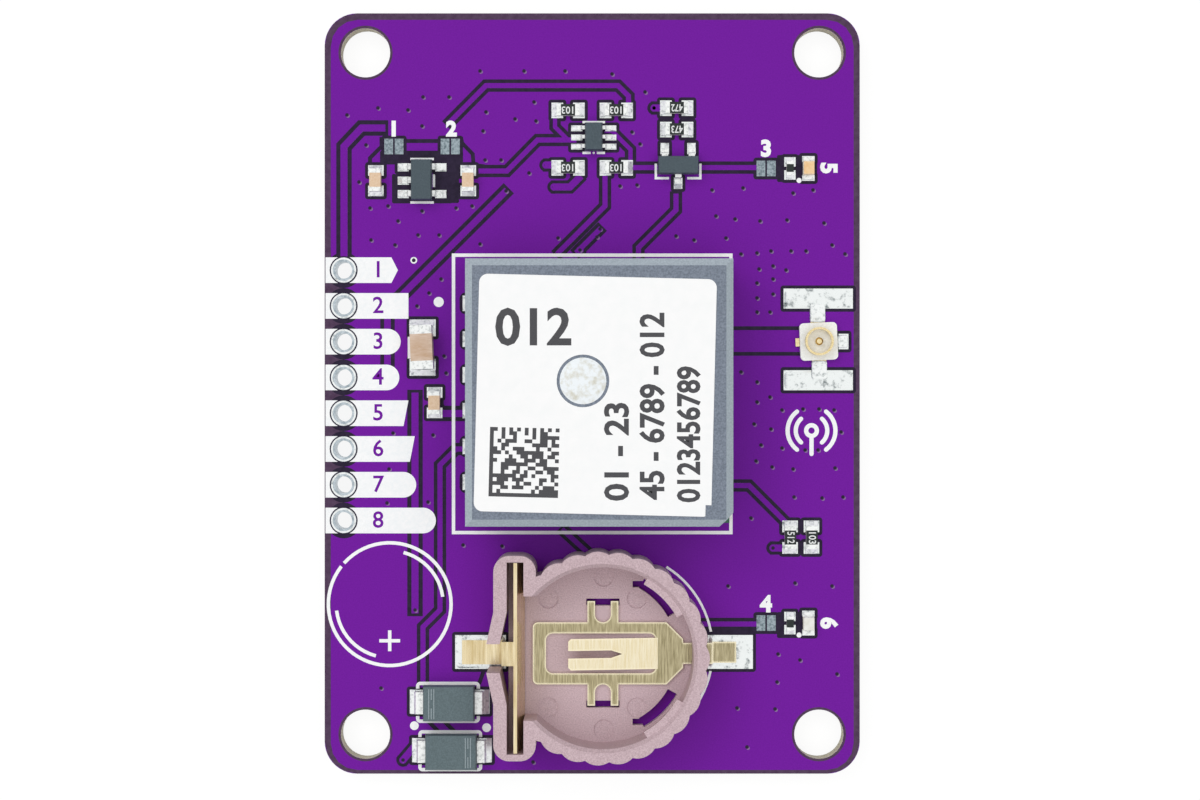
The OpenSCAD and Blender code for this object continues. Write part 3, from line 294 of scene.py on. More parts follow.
# The same mask over bare laminate, which reads nearly black.
BARE = Finish("mask_over_bare_laminate", "#2b2138", "#20182b", tone_mm=0.3, rough=0.45, specular=0.15)
# The band round the outline where the copper stops short, lighter because the laminate shines through.
BAND = Finish("mask_over_laminate_edge", "#543f58", "#452f49", tone_mm=0.4, rough=0.45, specular=0.2)
# A painted highlight: a pale disc set down and right of each dark via, standing in for the lit wall of its
# dimple.
VIA_HIGHLIGHT = Finish("lit_via_wall", "#8a6a9c", "#745487", tone_mm=0.1, rough=0.4)
# Thick matt white ink with a slightly uneven body.
INK = Finish("white_print_ink", "#ffffff", "#f7fafb", tone_mm=0.25, rough=0.6,
             relief_mm=0.004, relief_size_mm=0.2)
# Hot-levelled tin: bright and smooth, with a few duller clouds of flux.
TIN = Finish("levelled_tin", "#f0f4f3", "#7b8486", tone_mm=0.5, rough=0.34, rough_swing=0.12, metallic=1.0,
             tone_range=(0.3, 0.47), relief_mm=0.03, relief_size_mm=0.5)
# Duller flat tin on the open jumper pads.
JUMPER_TIN = Finish("dull_flat_tin", "#a3b1b8", "#66757c", tone_mm=0.16, rough=0.42, rough_swing=0.08,
                    metallic=1.0, tone_range=(0.34, 0.6), relief_mm=0.012, relief_size_mm=0.16)
# Silvery barrels with a soft roll at the rim.
BARREL_TIN = Finish("barrel_tin", "#d3dde3", "#97a4ac", tone_mm=0.25, rough=0.36, rough_swing=0.1,
                    metallic=1.0, tone_range=(0.3, 0.7), relief_mm=0.012, relief_size_mm=0.2)
# Fresh solder that has run up the joints: smooth with a few grey clouds.
SOLDER = Finish("run_solder", "#f6f9f8", "#a9b1b1", tone_mm=0.3, rough=0.42, rough_swing=0.1, metallic=1.0,
                tone_range=(0.26, 0.5), relief_mm=0.02, relief_size_mm=0.3)
# Solder on the antenna's feed, whitish with a tinge of flux.
FEED = Finish("feed_solder_with_flux", "#eff4f7", "#d3d1c4", tone_mm=0.5, rough=0.4, rough_swing=0.08,
              metallic=0.8, tone_range=(0.3, 0.55), relief_mm=0.02, relief_size_mm=0.4)
# Tinned leads and chip ends, whitish and mottled.
LEADS = Finish("tinned_leads", "#f6f8f6", "#b8bdbc", tone_mm=0.24, rough=0.48, rough_swing=0.08,
               metallic=0.8, tone_range=(0.27, 0.52), relief_mm=0.01, relief_size_mm=0.2)
# Green laminate of the receiver's own carrier, with the same cut sides as the board.
CARRIER = EdgedFinish("green_carrier_mask", "#33644c", "#28533e", tone_mm=0.4, rough=0.4)
# Tinned can sheet, faintly rolled along one way.
CAN = Finish("tinned_can_sheet", "#c4cacd", "#a5abaf", tone_mm=0.5, rough=0.3, rough_swing=0.08,
             metallic=1.0, stretch=(1.0, 0.15, 1.0))
# Matt black moulding compound with fine filler grain.
EPOXY = Finish("black_moulding_compound", "#34373a", "#222427", tone_mm=0.1, rough=0.6,
               relief_mm=0.006, relief_size_mm=0.08)
# Cream ceramic case of the oscillator.
CASE = Finish("cream_ceramic_case", "#cdc8b6", "#bdb7a1", tone_mm=0.3, rough=0.4)
# Thin off-white tape under the antenna.
TAPE = Finish("off_white_tape", "#dcd8cd", "#cbc6b8", tone_mm=0.3, rough=0.7)
# Fired antenna: a cool grey coat on top and paler bare ceramic on its bevels and sides.
FIRED = EdgedFinish("grey_fired_face", "#868f9d", "#69727f", tone_mm=0.13, rough=0.5, rough_swing=0.08,
                    tone_range=(0.36, 0.64), relief_mm=0.006, relief_size_mm=0.06, specular=0.3,
                    side_light="#c3cfd7", side_dark="#9facb6", side=Side.GRAIN)
# Smooth white label stock.
PAPER = Finish("white_label_stock", "#ffffff", "#fcfdfd", tone_mm=0.8, rough=0.5,
               relief_mm=0.001, relief_size_mm=0.3)
# Dark grey transfer print on the label, a little worn.
LABEL_INK = Finish("grey_transfer_print", "#58585b", "#47474a", tone_mm=0.06, rough=0.6, specular=0.2)
# Pinkish-grey glass-filled moulding with a fine sparkle grain.
MOULDING = Finish("pinkish_moulding", "#dac2c8", "#b39aa0", tone_mm=0.08, rough=0.45, rough_swing=0.1,
                  tone_range=(0.32, 0.68), relief_mm=0.022, relief_size_mm=0.09, specular=0.35)
# Gold-plated spring sheet, finely brushed, in its deep gold where it lies flat; the pale gold on its bends
# and slopes and the bright line along its edges are painted highlights.
CONTACT = EdgedFinish("brushed_gold_sheet", "#cbc09c", "#8d8260", tone_mm=0.11, rough=0.22, metallic=1.0,
                      tone_range=(0.3, 0.7), relief_mm=0.004, relief_size_mm=0.06, stretch=(1.0, 0.08, 1.0),
                      edge="#fff4d4", edge_mm=0.28, side_light="#f8efd6", side_dark="#e6d5a8",
                      side=Side.GRAIN, flat_range=(0.99, 0.998))
# The same plating on the long spring strip, whose cut edge shows pale; the paler colour all over the strip,
# beside the sheet's, is a painted highlight.
SPRING = Finish("gold_spring_strip", "#f4e5c0", "#d0b985", tone_mm=0.3, rough=0.26, metallic=1.0,
                tone_range=(0.3, 0.65), relief_mm=0.004, relief_size_mm=0.06, stretch=(1.0, 0.08, 1.0))
# Grey moulded diode bodies, matt with filler grain.
DIODE = Finish("grey_diode_moulding", "#67777c", "#586669", tone_mm=0.09, rough=0.55,
               relief_mm=0.008, relief_size_mm=0.08, specular=0.25)
# Laser-lightened lines on the diodes.
LASER = Finish("laser_lightened_mark", "#a9b4b8", "#87949a", tone_mm=0.06, rough=0.6, specular=0.2)
# Dark grey moulded small packages, with the same grain.
PACKAGE = Finish("dark_package_moulding", "#525f66", "#424d54", tone_mm=0.08, rough=0.5,
                 relief_mm=0.007, relief_size_mm=0.07, specular=0.25)
# White alumina resistor cores.
ALUMINA = Finish("white_alumina", "#eceae2", "#dddad0", tone_mm=0.15, rough=0.5)
# Glassy black-green coat over the resistors.
GLAZE = Finish("black_resistor_glaze", "#1b2624", "#0f1816", tone_mm=0.2, rough=0.3, coat=0.2, specular=0.3)
# White figures fired into the coat.
FIGURES = Finish("white_fired_figures", "#f4f6f5", "#e2e6e5", tone_mm=0.06, rough=0.55)
# Tan ceramic of the small capacitors.
TAN = Finish("tan_capacitor_ceramic", "#e9cfb4", "#dbb994", tone_mm=0.12, rough=0.42, rough_swing=0.05,
             tone_range=(0.3, 0.7), relief_mm=0.005, relief_size_mm=0.08)
# Paler tan ceramic of the bulk capacitor, with faint firing bands along it.
PALE_TAN = Finish("pale_capacitor_ceramic", "#dcc5b2", "#c4a283", tone_mm=0.3, rough=0.42, rough_swing=0.05,
                  tone_range=(0.3, 0.7), relief_mm=0.005, relief_size_mm=0.1, stretch=(0.3, 1.0, 1.0))
# White base of the lamps.
LAMP_BASE = Finish("white_lamp_base", "#f1ede4", "#e2ddd1", tone_mm=0.2, rough=0.5)
# Peach-tinted clear resin, glossy.
AMBER = Finish("peach_lamp_resin", "#f8d9a9", "#efc085", tone_mm=0.4, rough=0.2, rough_swing=0.03, coat=0.4)
# Cream clear resin, glossy.
CLEAR = Finish("cream_lamp_resin", "#f0f0ea", "#e4e2d8", tone_mm=0.4, rough=0.2, rough_swing=0.03, coat=0.4)
# White moulded insulator of the jack.
INSULATOR = Finish("white_jack_moulding", "#fdfefd", "#f1f2ec", tone_mm=0.15, rough=0.5,
                   relief_mm=0.006, relief_size_mm=0.1)
# Pale turned gold plating of the jack.
TURNED = Finish("turned_gold_plating", "#f7e8bf", "#dcc07c", tone_mm=0.1, rough=0.2, rough_swing=0.08,
                metallic=1.0, tone_range=(0.25, 0.7), relief_mm=0.004, relief_size_mm=0.05,
                stretch=(1.0, 1.0, 0.2))

NODE_FINISHES: dict[str, Finish] = {
    "board": MASK, "white_print": INK, "header_barrels": BARREL_TIN, "component_pads": TIN,
    "jumper_pads": JUMPER_TIN, "receiver_lands": TIN, "receiver_carrier": CARRIER, "receiver_solder": SOLDER,
    "receiver_shield": CAN, "receiver_chip": EPOXY, "receiver_oscillator": CASE, "receiver_filter": EPOXY,
    "antenna_tape": TAPE, "patch_antenna": FIRED, "feed_pin": FEED, "feed_solder": FEED,
    "receiver_label": PAPER, "holder_body": MOULDING, "holder_positive_contact": SPRING,
    "holder_negative_contact": CONTACT, "holder_pads": TIN, "input_diode_body": DIODE,
    "input_diode_leads": LEADS, "backup_diode_body": DIODE, "backup_diode_leads": LEADS,
    "regulator_body": PACKAGE, "regulator_leads": LEADS, "shifter_body": PACKAGE, "shifter_leads": LEADS,
    "transistor_body": PACKAGE, "transistor_leads": LEADS, "resistor_cores": ALUMINA,
    "resistor_coats": GLAZE, "resistor_ends": LEADS, "regulator_capacitor_bodies": TAN,
    "regulator_capacitor_ends": LEADS, "bulk_capacitor_body": PALE_TAN, "bulk_capacitor_ends": LEADS,
    "bypass_capacitor_body": TAN, "bypass_capacitor_ends": LEADS, "lamp_bases": LAMP_BASE,
    "power_lamp_lens": AMBER, "pulse_lamp_lens": CLEAR, "lamp_ends": LEADS, "jack_base": INSULATOR,
    "jack_shell": TURNED, "jack_pin": TURNED, "jack_pads": TIN,
}


@cache
def made(finish: Finish) -> bpy.types.Material:
    """Returns the finish's one material, built the first time it is asked for."""
    return finish.make()


def paint(piece: Piece, finish: Finish) -> None:
    """Gives a piece its finish all over."""
    piece.data.materials.clear()
    piece.data.materials.append(made(finish))


@dataclass(frozen=True)
class Solid:
    """The box in mm of one separate solid inside a node."""

    low: Vector
    high: Vector

    @property
    def middle(self) -> Vector:
        """The box's middle."""
        return (self.low + self.high) / 2

    @property
    def size(self) -> Vector:
        """The box's three sides."""
        return self.high - self.low

    def holds(self, point: Vector) -> bool:
        """Returns whether a point lies inside the box in plan."""
        return self.low.x <= point.x <= self.high.x and self.low.y <= point.y <= self.high.y


def solids(node: str) -> list[Solid]:
    """Finds the separate solids of a CAD node.

    Args:
        node: the node's name.

    Returns:
        Their boxes in mm, the top row first and each row from the left.
    """
    mesh = bmesh.new()
    mesh.from_mesh(bpy.data.objects[node].data)
    bmesh.ops.remove_doubles(mesh, verts=mesh.verts, dist=1e-7)
    found: list[Solid] = []
    seen: set[bmesh.types.BMVert] = set()
    for start in mesh.verts:
        if start in seen:
            continue
        group, queue = [], [start]
        seen.add(start)
        while queue:
            vert = queue.pop()
            group.append(vert.co / MM)
            for edge in vert.link_edges:
                other = edge.other_vert(vert)
                if other not in seen:
                    seen.add(other)
                    queue.append(other)
        found.append(Solid(Vector([min(p[i] for p in group) for i in range(3)]),
                           Vector([max(p[i] for p in group) for i in range(3)])))
    mesh.free()
    return sorted(found, key=lambda s: (-round(s.middle.y, 2), round(s.middle.x, 2)))


def free_selection() -> None:
    """Leaves edit mode and deselects all."""
    if bpy.context.object and bpy.context.object.mode != "OBJECT":
        bpy.ops.object.mode_set(mode="OBJECT")
    bpy.ops.object.select_all(action="DESELECT")


def take(*pieces: Piece) -> None:
    """Selects objects alone.

    Args:
        pieces: the objects, the first of which is made active.
    """
    free_selection()
    for piece in pieces:
        piece.select_set(True)
    bpy.context.view_layer.objects.active = pieces[0]


def join(name: str, pieces: Sequence[Piece]) -> Piece:
    """Joins objects into one.

    Args:
        name: the new piece's name.
        pieces: the objects.

    Returns:
        The joined piece.
    """
    take(*pieces)
    bpy.ops.object.join()
    pieces[0].name = name
    return pieces[0]


def turn_selected(angle: float, centre: Sequence[float]) -> None:
    """Turns what is selected counter-clockwise about an upright axis."""
    bpy.ops.transform.rotate(value=-angle, orient_axis="Z", center_override=tuple(centre))


def choose(piece: Piece, kind: str, test: Callable[[Any], bool]) -> None:
    """Selects faces or edges of the piece in edit mode.

    Args:
        piece: the piece.
        kind: FACE or EDGE.
        test: which of them to select.
    """
    bpy.ops.mesh.select_mode(type=kind)
    bpy.ops.mesh.select_all(action="DESELECT")
    mesh = bmesh.from_edit_mesh(piece.data)
    for part in mesh.faces if kind == "FACE" else mesh.edges:
        part.select_set(test(part))
    bmesh.update_edit_mesh(piece.data)


def soften(piece: Piece, test: Callable[[Any], bool], offset: float, smooth_to: float = 60.0) -> None:
    """Bevels chosen edges of a piece and shades it smooth across them.

    Args:
        piece: the piece, in object mode.
        test: which edges to bevel.
        offset: the bevel's width in mm.
        smooth_to: the widest angle in degrees that is shaded smooth.
    """
    bpy.ops.object.mode_set(mode="EDIT")
    choose(piece, "EDGE", test)
    bpy.ops.mesh.bevel(offset=offset, segments=2, affect="EDGES")
    bpy.ops.object.mode_set(mode="OBJECT")
    bpy.ops.object.shade_smooth_by_angle(angle=math.radians(smooth_to))


def close_sheet(thick: float) -> None:
    """Extrudes the selected flat faces upwards, turns all faces outwards and leaves edit mode.

    Args:
        thick: the sheet's thickness.
    """
    bpy.ops.mesh.extrude_region_move(TRANSFORM_OT_translate={"value": (0, 0, thick)})
    bpy.ops.mesh.select_all(action="SELECT")
    bpy.ops.mesh.normals_make_consistent(inside=False)
    bpy.ops.object.mode_set(mode="OBJECT")


class Sketch:
    """A flat sheet drawn in mm with edit-mode tools and then given its thickness."""

    def __init__(self, name: str) -> None:
        """Starts an empty sheet in edit mode.

        Args:
            name: the piece's name.
        """
        free_selection()
        bpy.ops.mesh.primitive_plane_add(size=1.0)
        self.piece: Piece = bpy.context.object
        self.piece.name = name
        self.drawn = 0
        bpy.ops.object.mode_set(mode="EDIT")
        bpy.ops.mesh.select_mode(type="VERT")
        bpy.ops.mesh.delete(type="VERT")

    def stagger(self) -> None:
        """Lifts the shape just drawn a hair, so that shapes that cross share no plane."""
        bpy.ops.mesh.select_linked()
        bpy.ops.transform.translate(value=(0, 0, self.drawn * STAGGER))
        self.drawn += 1

    def rect(self, middle: Sequence[float], size: Sequence[float], radius: float = 0.0) -> None:
        """Draws a rectangle.

        Args:
            middle: its middle.
            size: its width and height.
            radius: the radius of its corners.
        """
        place = (middle[0], middle[1], 0.0)
        bpy.ops.mesh.primitive_plane_add(size=1.0, location=place)
        bpy.ops.transform.resize(value=(size[0], size[1], 1.0), center_override=place)
        if radius:
            bpy.ops.mesh.bevel(offset=radius, segments=4, affect="VERTICES")
        self.stagger()

    def disc(self, middle: Sequence[float], radius: float, sides: int) -> None:
        """Draws a filled circle."""
        bpy.ops.mesh.primitive_circle_add(
            vertices=sides, radius=radius, fill_type="NGON", location=(middle[0], middle[1], 0.0))

    def edge(self, middle: Sequence[float], span: Point) -> None:
        """Draws one straight edge that the drag and spin tools start from.

        Args:
            middle: its middle.
            span: its run along both axes, one of which is zero.
        """
        place = (middle[0], middle[1], 0.0)
        bpy.ops.mesh.primitive_plane_add(size=1.0, location=place)
        bpy.ops.transform.resize(value=(span[0], span[1], 1.0), center_override=place)
        bpy.ops.mesh.remove_doubles(threshold=1e-4)

    def arc(self, middle: Sequence[float], radius: float, width: float, steps: int,
            start: float = 0.0, turn: float = 2 * math.pi) -> None:
        """Spins an edge into a bow, or a whole ring.

        Args:
            middle: the bow's centre.
            radius: the radius of its middle line.
            width: its width.
            steps: the number of straight stretches.
            start: the angle that it starts from.
            turn: the angle that it runs through.
        """
        centre = (middle[0], middle[1], 0.0)
        self.edge((middle[0] + radius, middle[1]), (width, 0.0))
        turn_selected(start, centre)
        bpy.ops.mesh.spin(steps=steps, angle=-turn, center=centre, axis=(0, 0, 1))
        if turn >= 2 * math.pi:
            bpy.ops.mesh.select_linked()
            bpy.ops.mesh.remove_doubles(threshold=1e-4)
        self.stagger()

    def strip(self, path: Route, width: float, cap: float = 0.0) -> None:
        """Drags an edge along a path, mitred at each bend.

        Args:
            path: the centre line in mm.
            width: the strip's width.
            cap: how far each end runs past its point.
        """
        points = [Vector((x, y, 0.0)) for x, y in path]
        points[0] -= (points[1] - points[0]).normalized() * cap
        points[-1] += (points[-1] - points[-2]).normalized() * cap
        ways = [math.atan2(b.y - a.y, b.x - a.x) for a, b in zip(points, points[1:])]
        self.edge(points[0], (0.0, width))
        turn_selected(ways[0], points[0])
        facing, stretch = ways[0], 1.0
        for i in range(1, len(points)):
            bpy.ops.mesh.extrude_region_move(TRANSFORM_OT_translate={"value": points[i] - points[i - 1]})
            after = ways[i] if i < len(ways) else ways[-1]
            bend = math.remainder(after - ways[i - 1], 2 * math.pi)
            mitre, wide = ways[i - 1] + bend / 2, 1 / math.cos(bend / 2)
            turn_selected(math.remainder(mitre - facing, 2 * math.pi), points[i])
            bpy.ops.transform.resize(value=(wide / stretch,) * 3, center_override=points[i])
            facing, stretch = mitre, wide
        self.stagger()

    def thicken(self, low: float, high: float) -> Piece:
        """Lifts the sheet to its height, gives it its thickness and closes the sketch.

        Args:
            low: the height of its underside.
            high: the height of its upper face.

        Returns:
            The finished sheet, in object mode.
        """
        bpy.ops.mesh.select_mode(type="FACE")
        bpy.ops.mesh.select_all(action="SELECT")
        bpy.ops.transform.translate(value=(0, 0, low))
        close_sheet(high - low)
        return self.piece

    def lay(self, rise: float) -> Piece:
        """Returns the sheet set into the board's face, with its upper side a rise above it."""
        return self.thicken(BOARD_TOP - SINK, BOARD_TOP + rise)


@dataclass(frozen=True)
class Figure:
    """A plain number printed somewhere, its middle, height and length in mm."""

    text: str
    middle: Point
    height: float
    axis: Axis = Axis.ACROSS
    weight: float = 0.0
    length: float = 0.0

    def cut(self, low: float, high: float) -> Piece:
        """Cuts the number out of a thin sheet.

        Args:
            low: the height of the sheet's underside.
            high: the height of its upper face.

        Returns:
            The number as a mesh.
        """
        free_selection()
        bpy.ops.object.text_add(location=(0, 0, 0))
        word = bpy.context.object
        word.data.body = self.text
        word.data.align_x, word.data.align_y = "CENTER", "CENTER"
        word.data.size = self.height / FIGURE_SHARE
        word.data.offset = self.weight
        word.data.extrude = (high - low) / 2
        word.data.resolution_u = 3
        bpy.context.view_layer.update()
        stretch = self.length / word.dimensions.x if self.length else 1.0
        bpy.ops.object.convert(target="MESH")
        word = bpy.context.object
        word.scale = (stretch, 1.0, 1.0)
        bpy.ops.object.transform_apply(location=False, rotation=False, scale=True)
        word.rotation_euler.z = self.axis.value
        word.location = (*self.middle, (low + high) / 2)
        bpy.ops.object.transform_apply(location=True, rotation=True, scale=False)
        return word


def print_figures(name: str, figures: Sequence[Figure], low: float, high: float) -> Piece:
    """Returns several numbers between two heights as one piece."""
    return join(name, [figure.cut(low, high) for figure in figures])


class SubAssembly:
    """A group of new pieces that is modelled in mm and then dressed."""

    finishes: ClassVar[dict[str, tuple[Finish, str]]] = {}

    def build(self) -> dict[str, Piece]:
        """Returns the group's pieces by name."""
        raise NotImplementedError

    def dress(self) -> None:
        """Builds the pieces, brings them to metres, finishes them and puts them on the board's body."""
        for name, piece in self.build().items():
            finish, slot = self.finishes[name]
            take(piece)
            bpy.ops.object.transform_apply(location=True, rotation=True, scale=True)
            piece.scale = (MM, MM, MM)
            bpy.ops.object.transform_apply(location=True, rotation=True, scale=True)
            paint(piece, finish)
            piece.data.name = piece.name
            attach(piece, "root")
            LOG.info("%s: %d faces", piece.name, len(piece.data.polygons))


@dataclass
class Trace:
    """One copper track that the photo shows between two dark gaps."""

    path: Route
    copper: float = 0.36
    gap: float = 0.26

    @property
    def places(self) -> list[Point]:
        """The centre line in mm."""
        return [at(*p) for p in self.path]


def track(*path: Point, copper: float = Trace.copper, gap: float = Trace.gap) -> Any:
    """Returns a field that holds one track through points read off the photo."""
    return field(default_factory=lambda: Trace(path, copper, gap))


@dataclass
class BoardFace(SubAssembly):
    """The copper pattern under the mask: dark gaps, tracks, stitching vias with painted highlights, and the
    bare edge.
    """

    finishes: ClassVar[dict[str, tuple[Finish, str]]] = {
        "edge_band": (BAND, "board_mask"), "copper_gaps": (BARE, "board_mask"),
        "copper_tracks": (MASK, "board_mask"), "barrel_gaps": (BARE, "board_mask"),
        "barrel_rims": (SOLDER, "pad_tin"), "open_via": (SOLDER, "pad_tin"),
        "via_glints": (VIA_HIGHLIGHT, "board_mask"), "tented_vias": (BARE, "board_mask"),
    }

    band_rise: float = 0.001
    bare_rise: float = 0.002
    copper_rise: float = 0.016
    glint_rise: float = 0.017
    via_rise: float = 0.018
    open_rise: float = 0.02
    cleared_rise: float = 0.023
    rim_rise: float = 0.066
    outline: Point = (37.998, 53.998)
    corner: float = 2.3
    band: float = 0.43
    band_top: float = 0.46
    band_bottom: float = 0.26
    hole_at: Point = (16.1, 24.2)
    hole_ring: float = 1.84
    hole_ring_width: float = 0.17
    hole_steps: int = 40
    between_flags: float = 0.68
    rim_r: float = 0.76
    rim_clear: float = 0.005
    rim_bevel: float = 0.04
    ring_r: float = 0.9
    print_r: float = 1.0
    clear_r: float = 1.27
    ring_steps: int = 28
    pad_gap: float = 0.22
    pad_corner: float = 0.2
    land_corner: float = 0.42
    line_width: float = 0.28
    field_corner: float = 0.12
    track_cap: float = 0.1
    moat_r: float = 0.37
    moat_width: float = 0.22
    moat_steps: int = 20
    moats: Route = ((546, 165), (554, 187), (654, 108), (773, 548), (403, 760), (580, 250))
    open_via_at: Point = (413.8, 260.3)
    open_via_r: float = 0.19
    open_via_width: float = 0.1
    via_r: float = 0.13
    via_sides: int = 12
    glint_shift: float = 0.075
    supply_feed: Trace = track((449, 123), (486, 85.6), (618, 85.6), (628.5, 96), (628.5, 106))
    pin_feed: Trace = track((384, 128), (361.5, 128), (344, 146.5), (344, 255), copper=0.5, gap=0.3)
    enable_line: Trace = track((480, 171), (507, 171), (537.5, 140), (575, 140))
    pull_line: Trace = track((555, 118), (555, 127), (567, 139), copper=0.3)
    level_line: Trace = track((606, 131), (612, 131), (630.5, 149.5), (630.5, 163), copper=0.3)
    supply_out: Trace = track((506, 191), (387.5, 309.5), (387.5, 368), copper=0.47, gap=0.28)
    backup_line: Trace = track((415, 394), (415, 612), copper=0.5, gap=0.3)
    backup_branch: Trace = track((436, 396), (436, 413.5), (465, 413.5), copper=0.5, gap=0.3)
    cell_line: Trace = track((464, 449), (456, 449), (440, 465), (440, 610), (423, 627), (423, 686))
    pulse_line: Trace = track((676, 195), (676, 210), (638.5, 247.5), (638.5, 258))
    serial_line: Trace = track((605, 176), (605, 206), (558, 253))
    second_serial_line: Trace = track((600, 229), (577, 252))
    lamp_line: Trace = track((633, 167.6), (757, 167.6))
    radio_line: Trace = track((735, 341), (806, 341), copper=1.55, gap=0.27)
    sense_line: Trace = track((735, 485.5), (749, 485.5), (785, 521.5))
    reset_line: Trace = track((563, 530), (586, 551))
    lower_lamp_line: Trace = track((703, 624), (757, 624))
    diode_line: Trace = track((432, 717), (452, 737), copper=0.5, gap=0.3)
    drain_tail: Trace = track((403, 760), (414, 747), copper=0.5, gap=0.22)
    sense_tail: Trace = track((773, 548), (783, 548), copper=0.5, gap=0.22)
    base_tail: Trace = track((654, 108), (664, 108), copper=0.5, gap=0.22)
    pull_tail: Trace = track((546, 165), (556, 165), copper=0.5, gap=0.22)
    level_tail: Trace = track((554, 187), (570, 187), (580, 177), copper=0.5, gap=0.22)

    def build(self) -> dict[str, Piece]:
        """Lays the sheets of the copper pattern.

        Returns:
            The sheets by name.
        """
        return {
            "edge_band": self.edge_band(), "copper_gaps": self.gaps(), "copper_tracks": self.tracks(),
            "barrel_gaps": self.barrel_rings("barrel_gaps", self.ring_r, self.print_r, self.cleared_rise),
            "barrel_rims": self.barrel_rings("barrel_rims", self.rim_r, self.ring_r - self.rim_clear,
                                             self.rim_rise),
            "open_via": self.open_via(),
            # Pale discs beside the vias are painted highlights, flat sheets with no dimple.
            "via_glints": self.vias("via_glints", self.glint_shift, self.glint_rise),
            "tented_vias": self.vias("tented_vias", 0.0, self.via_rise),
        }

    def traces(self) -> list[Trace]:
        """Returns the tracks in the order they are laid."""
        return [value for value in vars(self).values() if isinstance(value, Trace)]

    def edge_band(self) -> Piece:
        """Draws the bare band round the outline, round the mounting holes and beside the header.

        Returns:
            The band.
        """
        sheet = Sketch("edge_band")
        sheet.rect((0, 0), self.outline, self.corner)
        bpy.ops.mesh.inset(thickness=self.band)
        width, length = self.outline
        inside = (length - self.band_top - self.band_bottom) / (length - 2 * self.band)
        bpy.ops.transform.resize(value=(1, inside, 1), center_override=(0, 0, 0))
        bpy.ops.transform.translate(value=(0, (self.band_bottom - self.band_top) / 2, 0))
        bpy.ops.mesh.delete(type="FACE")
        left, edge = self.band / 2 - width / 2, HEADER_X - self.ring_r
        for i in range(HEADER_COUNT - 1):
            y = HEADER_Y - (i + 0.5) * PITCH
            sheet.rect(((left + HEADER_X) / 2, y), (HEADER_X - left, self.between_flags))
        row_middle = HEADER_Y - (HEADER_COUNT - 1) / 2 * PITCH
        sheet.rect(((left + edge) / 2, row_middle), (edge - left, HEADER_COUNT * PITCH))
        for x in (-self.hole_at[0], self.hole_at[0]):
            for y in (-self.hole_at[1], self.hole_at[1]):
                sheet.arc((x, y), self.hole_ring, self.hole_ring_width, self.hole_steps)
        return sheet.lay(self.band_rise)

    def gaps(self) -> Piece:
        """Draws the dark gaps beside the tracks and round the pads.

        Returns:
            The gaps as one sheet.
        """
        sheet = Sketch("copper_gaps")
        for trace in self.traces():
            sheet.strip(trace.places, trace.copper + 2 * trace.gap, trace.gap)
        self.header_gaps(sheet)
        self.bare_fields(sheet)
        self.jumper_outlines(sheet)
        for node in ("component_pads", "jumper_pads", "holder_pads", "jack_pads", "receiver_lands"):
            corner = self.land_corner if node == "receiver_lands" else self.pad_corner
            for pad in solids(node):
                size = (pad.size.x + 2 * self.pad_gap, pad.size.y + 2 * self.pad_gap)
                sheet.rect(pad.middle, size, corner)
        beside_holder = ((484, 670), (479, 684))
        sheet.strip([at(*p) for p in beside_holder], self.line_width)
        for moat in self.moats:
            sheet.arc(at(*moat), self.moat_r, self.moat_width, self.moat_steps)
        return sheet.lay(self.bare_rise)

    def header_gaps(self, sheet: Sketch) -> None:
        """Draws the cleared rings round the header holes.

        Args:
            sheet: the sheet that takes them.
        """
        middle, width = (self.ring_r + self.clear_r) / 2, self.clear_r - self.ring_r
        for i in range(HEADER_COUNT):
            sheet.arc(header_place(i), middle, width, self.ring_steps)

    def bare_fields(self, sheet: Sketch) -> None:
        """Draws the bare fields round the regulator and the two lamp groups.

        Args:
            sheet: the sheet that takes them.
        """
        beside_regulator = ((380, 150.7, 463, 164.5), (433, 164, 459, 203), (392, 199.5, 452, 203.4),
                            (392, 174, 396, 203))
        beside_lamps = ((777, 155, 817, 182), (777, 612, 817, 638), (703, 626, 757, 634))
        for left, high, right, low in beside_regulator + beside_lamps:
            (x0, y0), (x1, y1) = at(left, low), at(right, high)
            sheet.rect(((x0 + x1) / 2, (y0 + y1) / 2), (x1 - x0, y1 - y0), self.field_corner)

    def jumper_outlines(self, sheet: Sketch) -> None:
        """Draws the dark lines that run from jumper to jumper and down beside the regulator.

        Args:
            sheet: the sheet that takes them.
        """
        between = ((404, 141), (441, 141))
        left = ((381.5, 137), (381.5, 146.5), (370, 158), (370, 163), (366, 168))
        right = ((461, 137), (462, 143), (472.7, 154), (473.6, 165), (485, 166.5))
        for path in (between, left, right):
            sheet.strip([at(*p) for p in path], self.line_width)

    def barrel_rings(self, name: str, inner: float, outer: float, rise: float) -> Piece:
        """Draws a ring with a softened edge round every header hole.

        Args:
            name: the piece's name.
            inner: the rings' inner radius.
            outer: the rings' outer radius.
            rise: the rings' height above the board.

        Returns:
            The rings as one piece.
        """
        sheet = Sketch(name)
        for i in range(HEADER_COUNT):
            sheet.arc(header_place(i), (inner + outer) / 2, outer - inner, self.ring_steps)
        piece = sheet.lay(rise)
        soften(piece, lambda e: all(v.co.z > BOARD_TOP + rise / 2 for v in e.verts)
               and e.calc_face_angle(0) > 1.0, min(self.rim_bevel, rise * 0.4))
        return piece

    def open_via(self) -> Piece:
        """Draws the plated ring of the one via that the mask leaves open.

        Returns:
            The ring.
        """
        sheet = Sketch("open_via")
        sheet.arc(at(*self.open_via_at), self.open_via_r, self.open_via_width, self.moat_steps)
        return sheet.lay(self.open_rise)

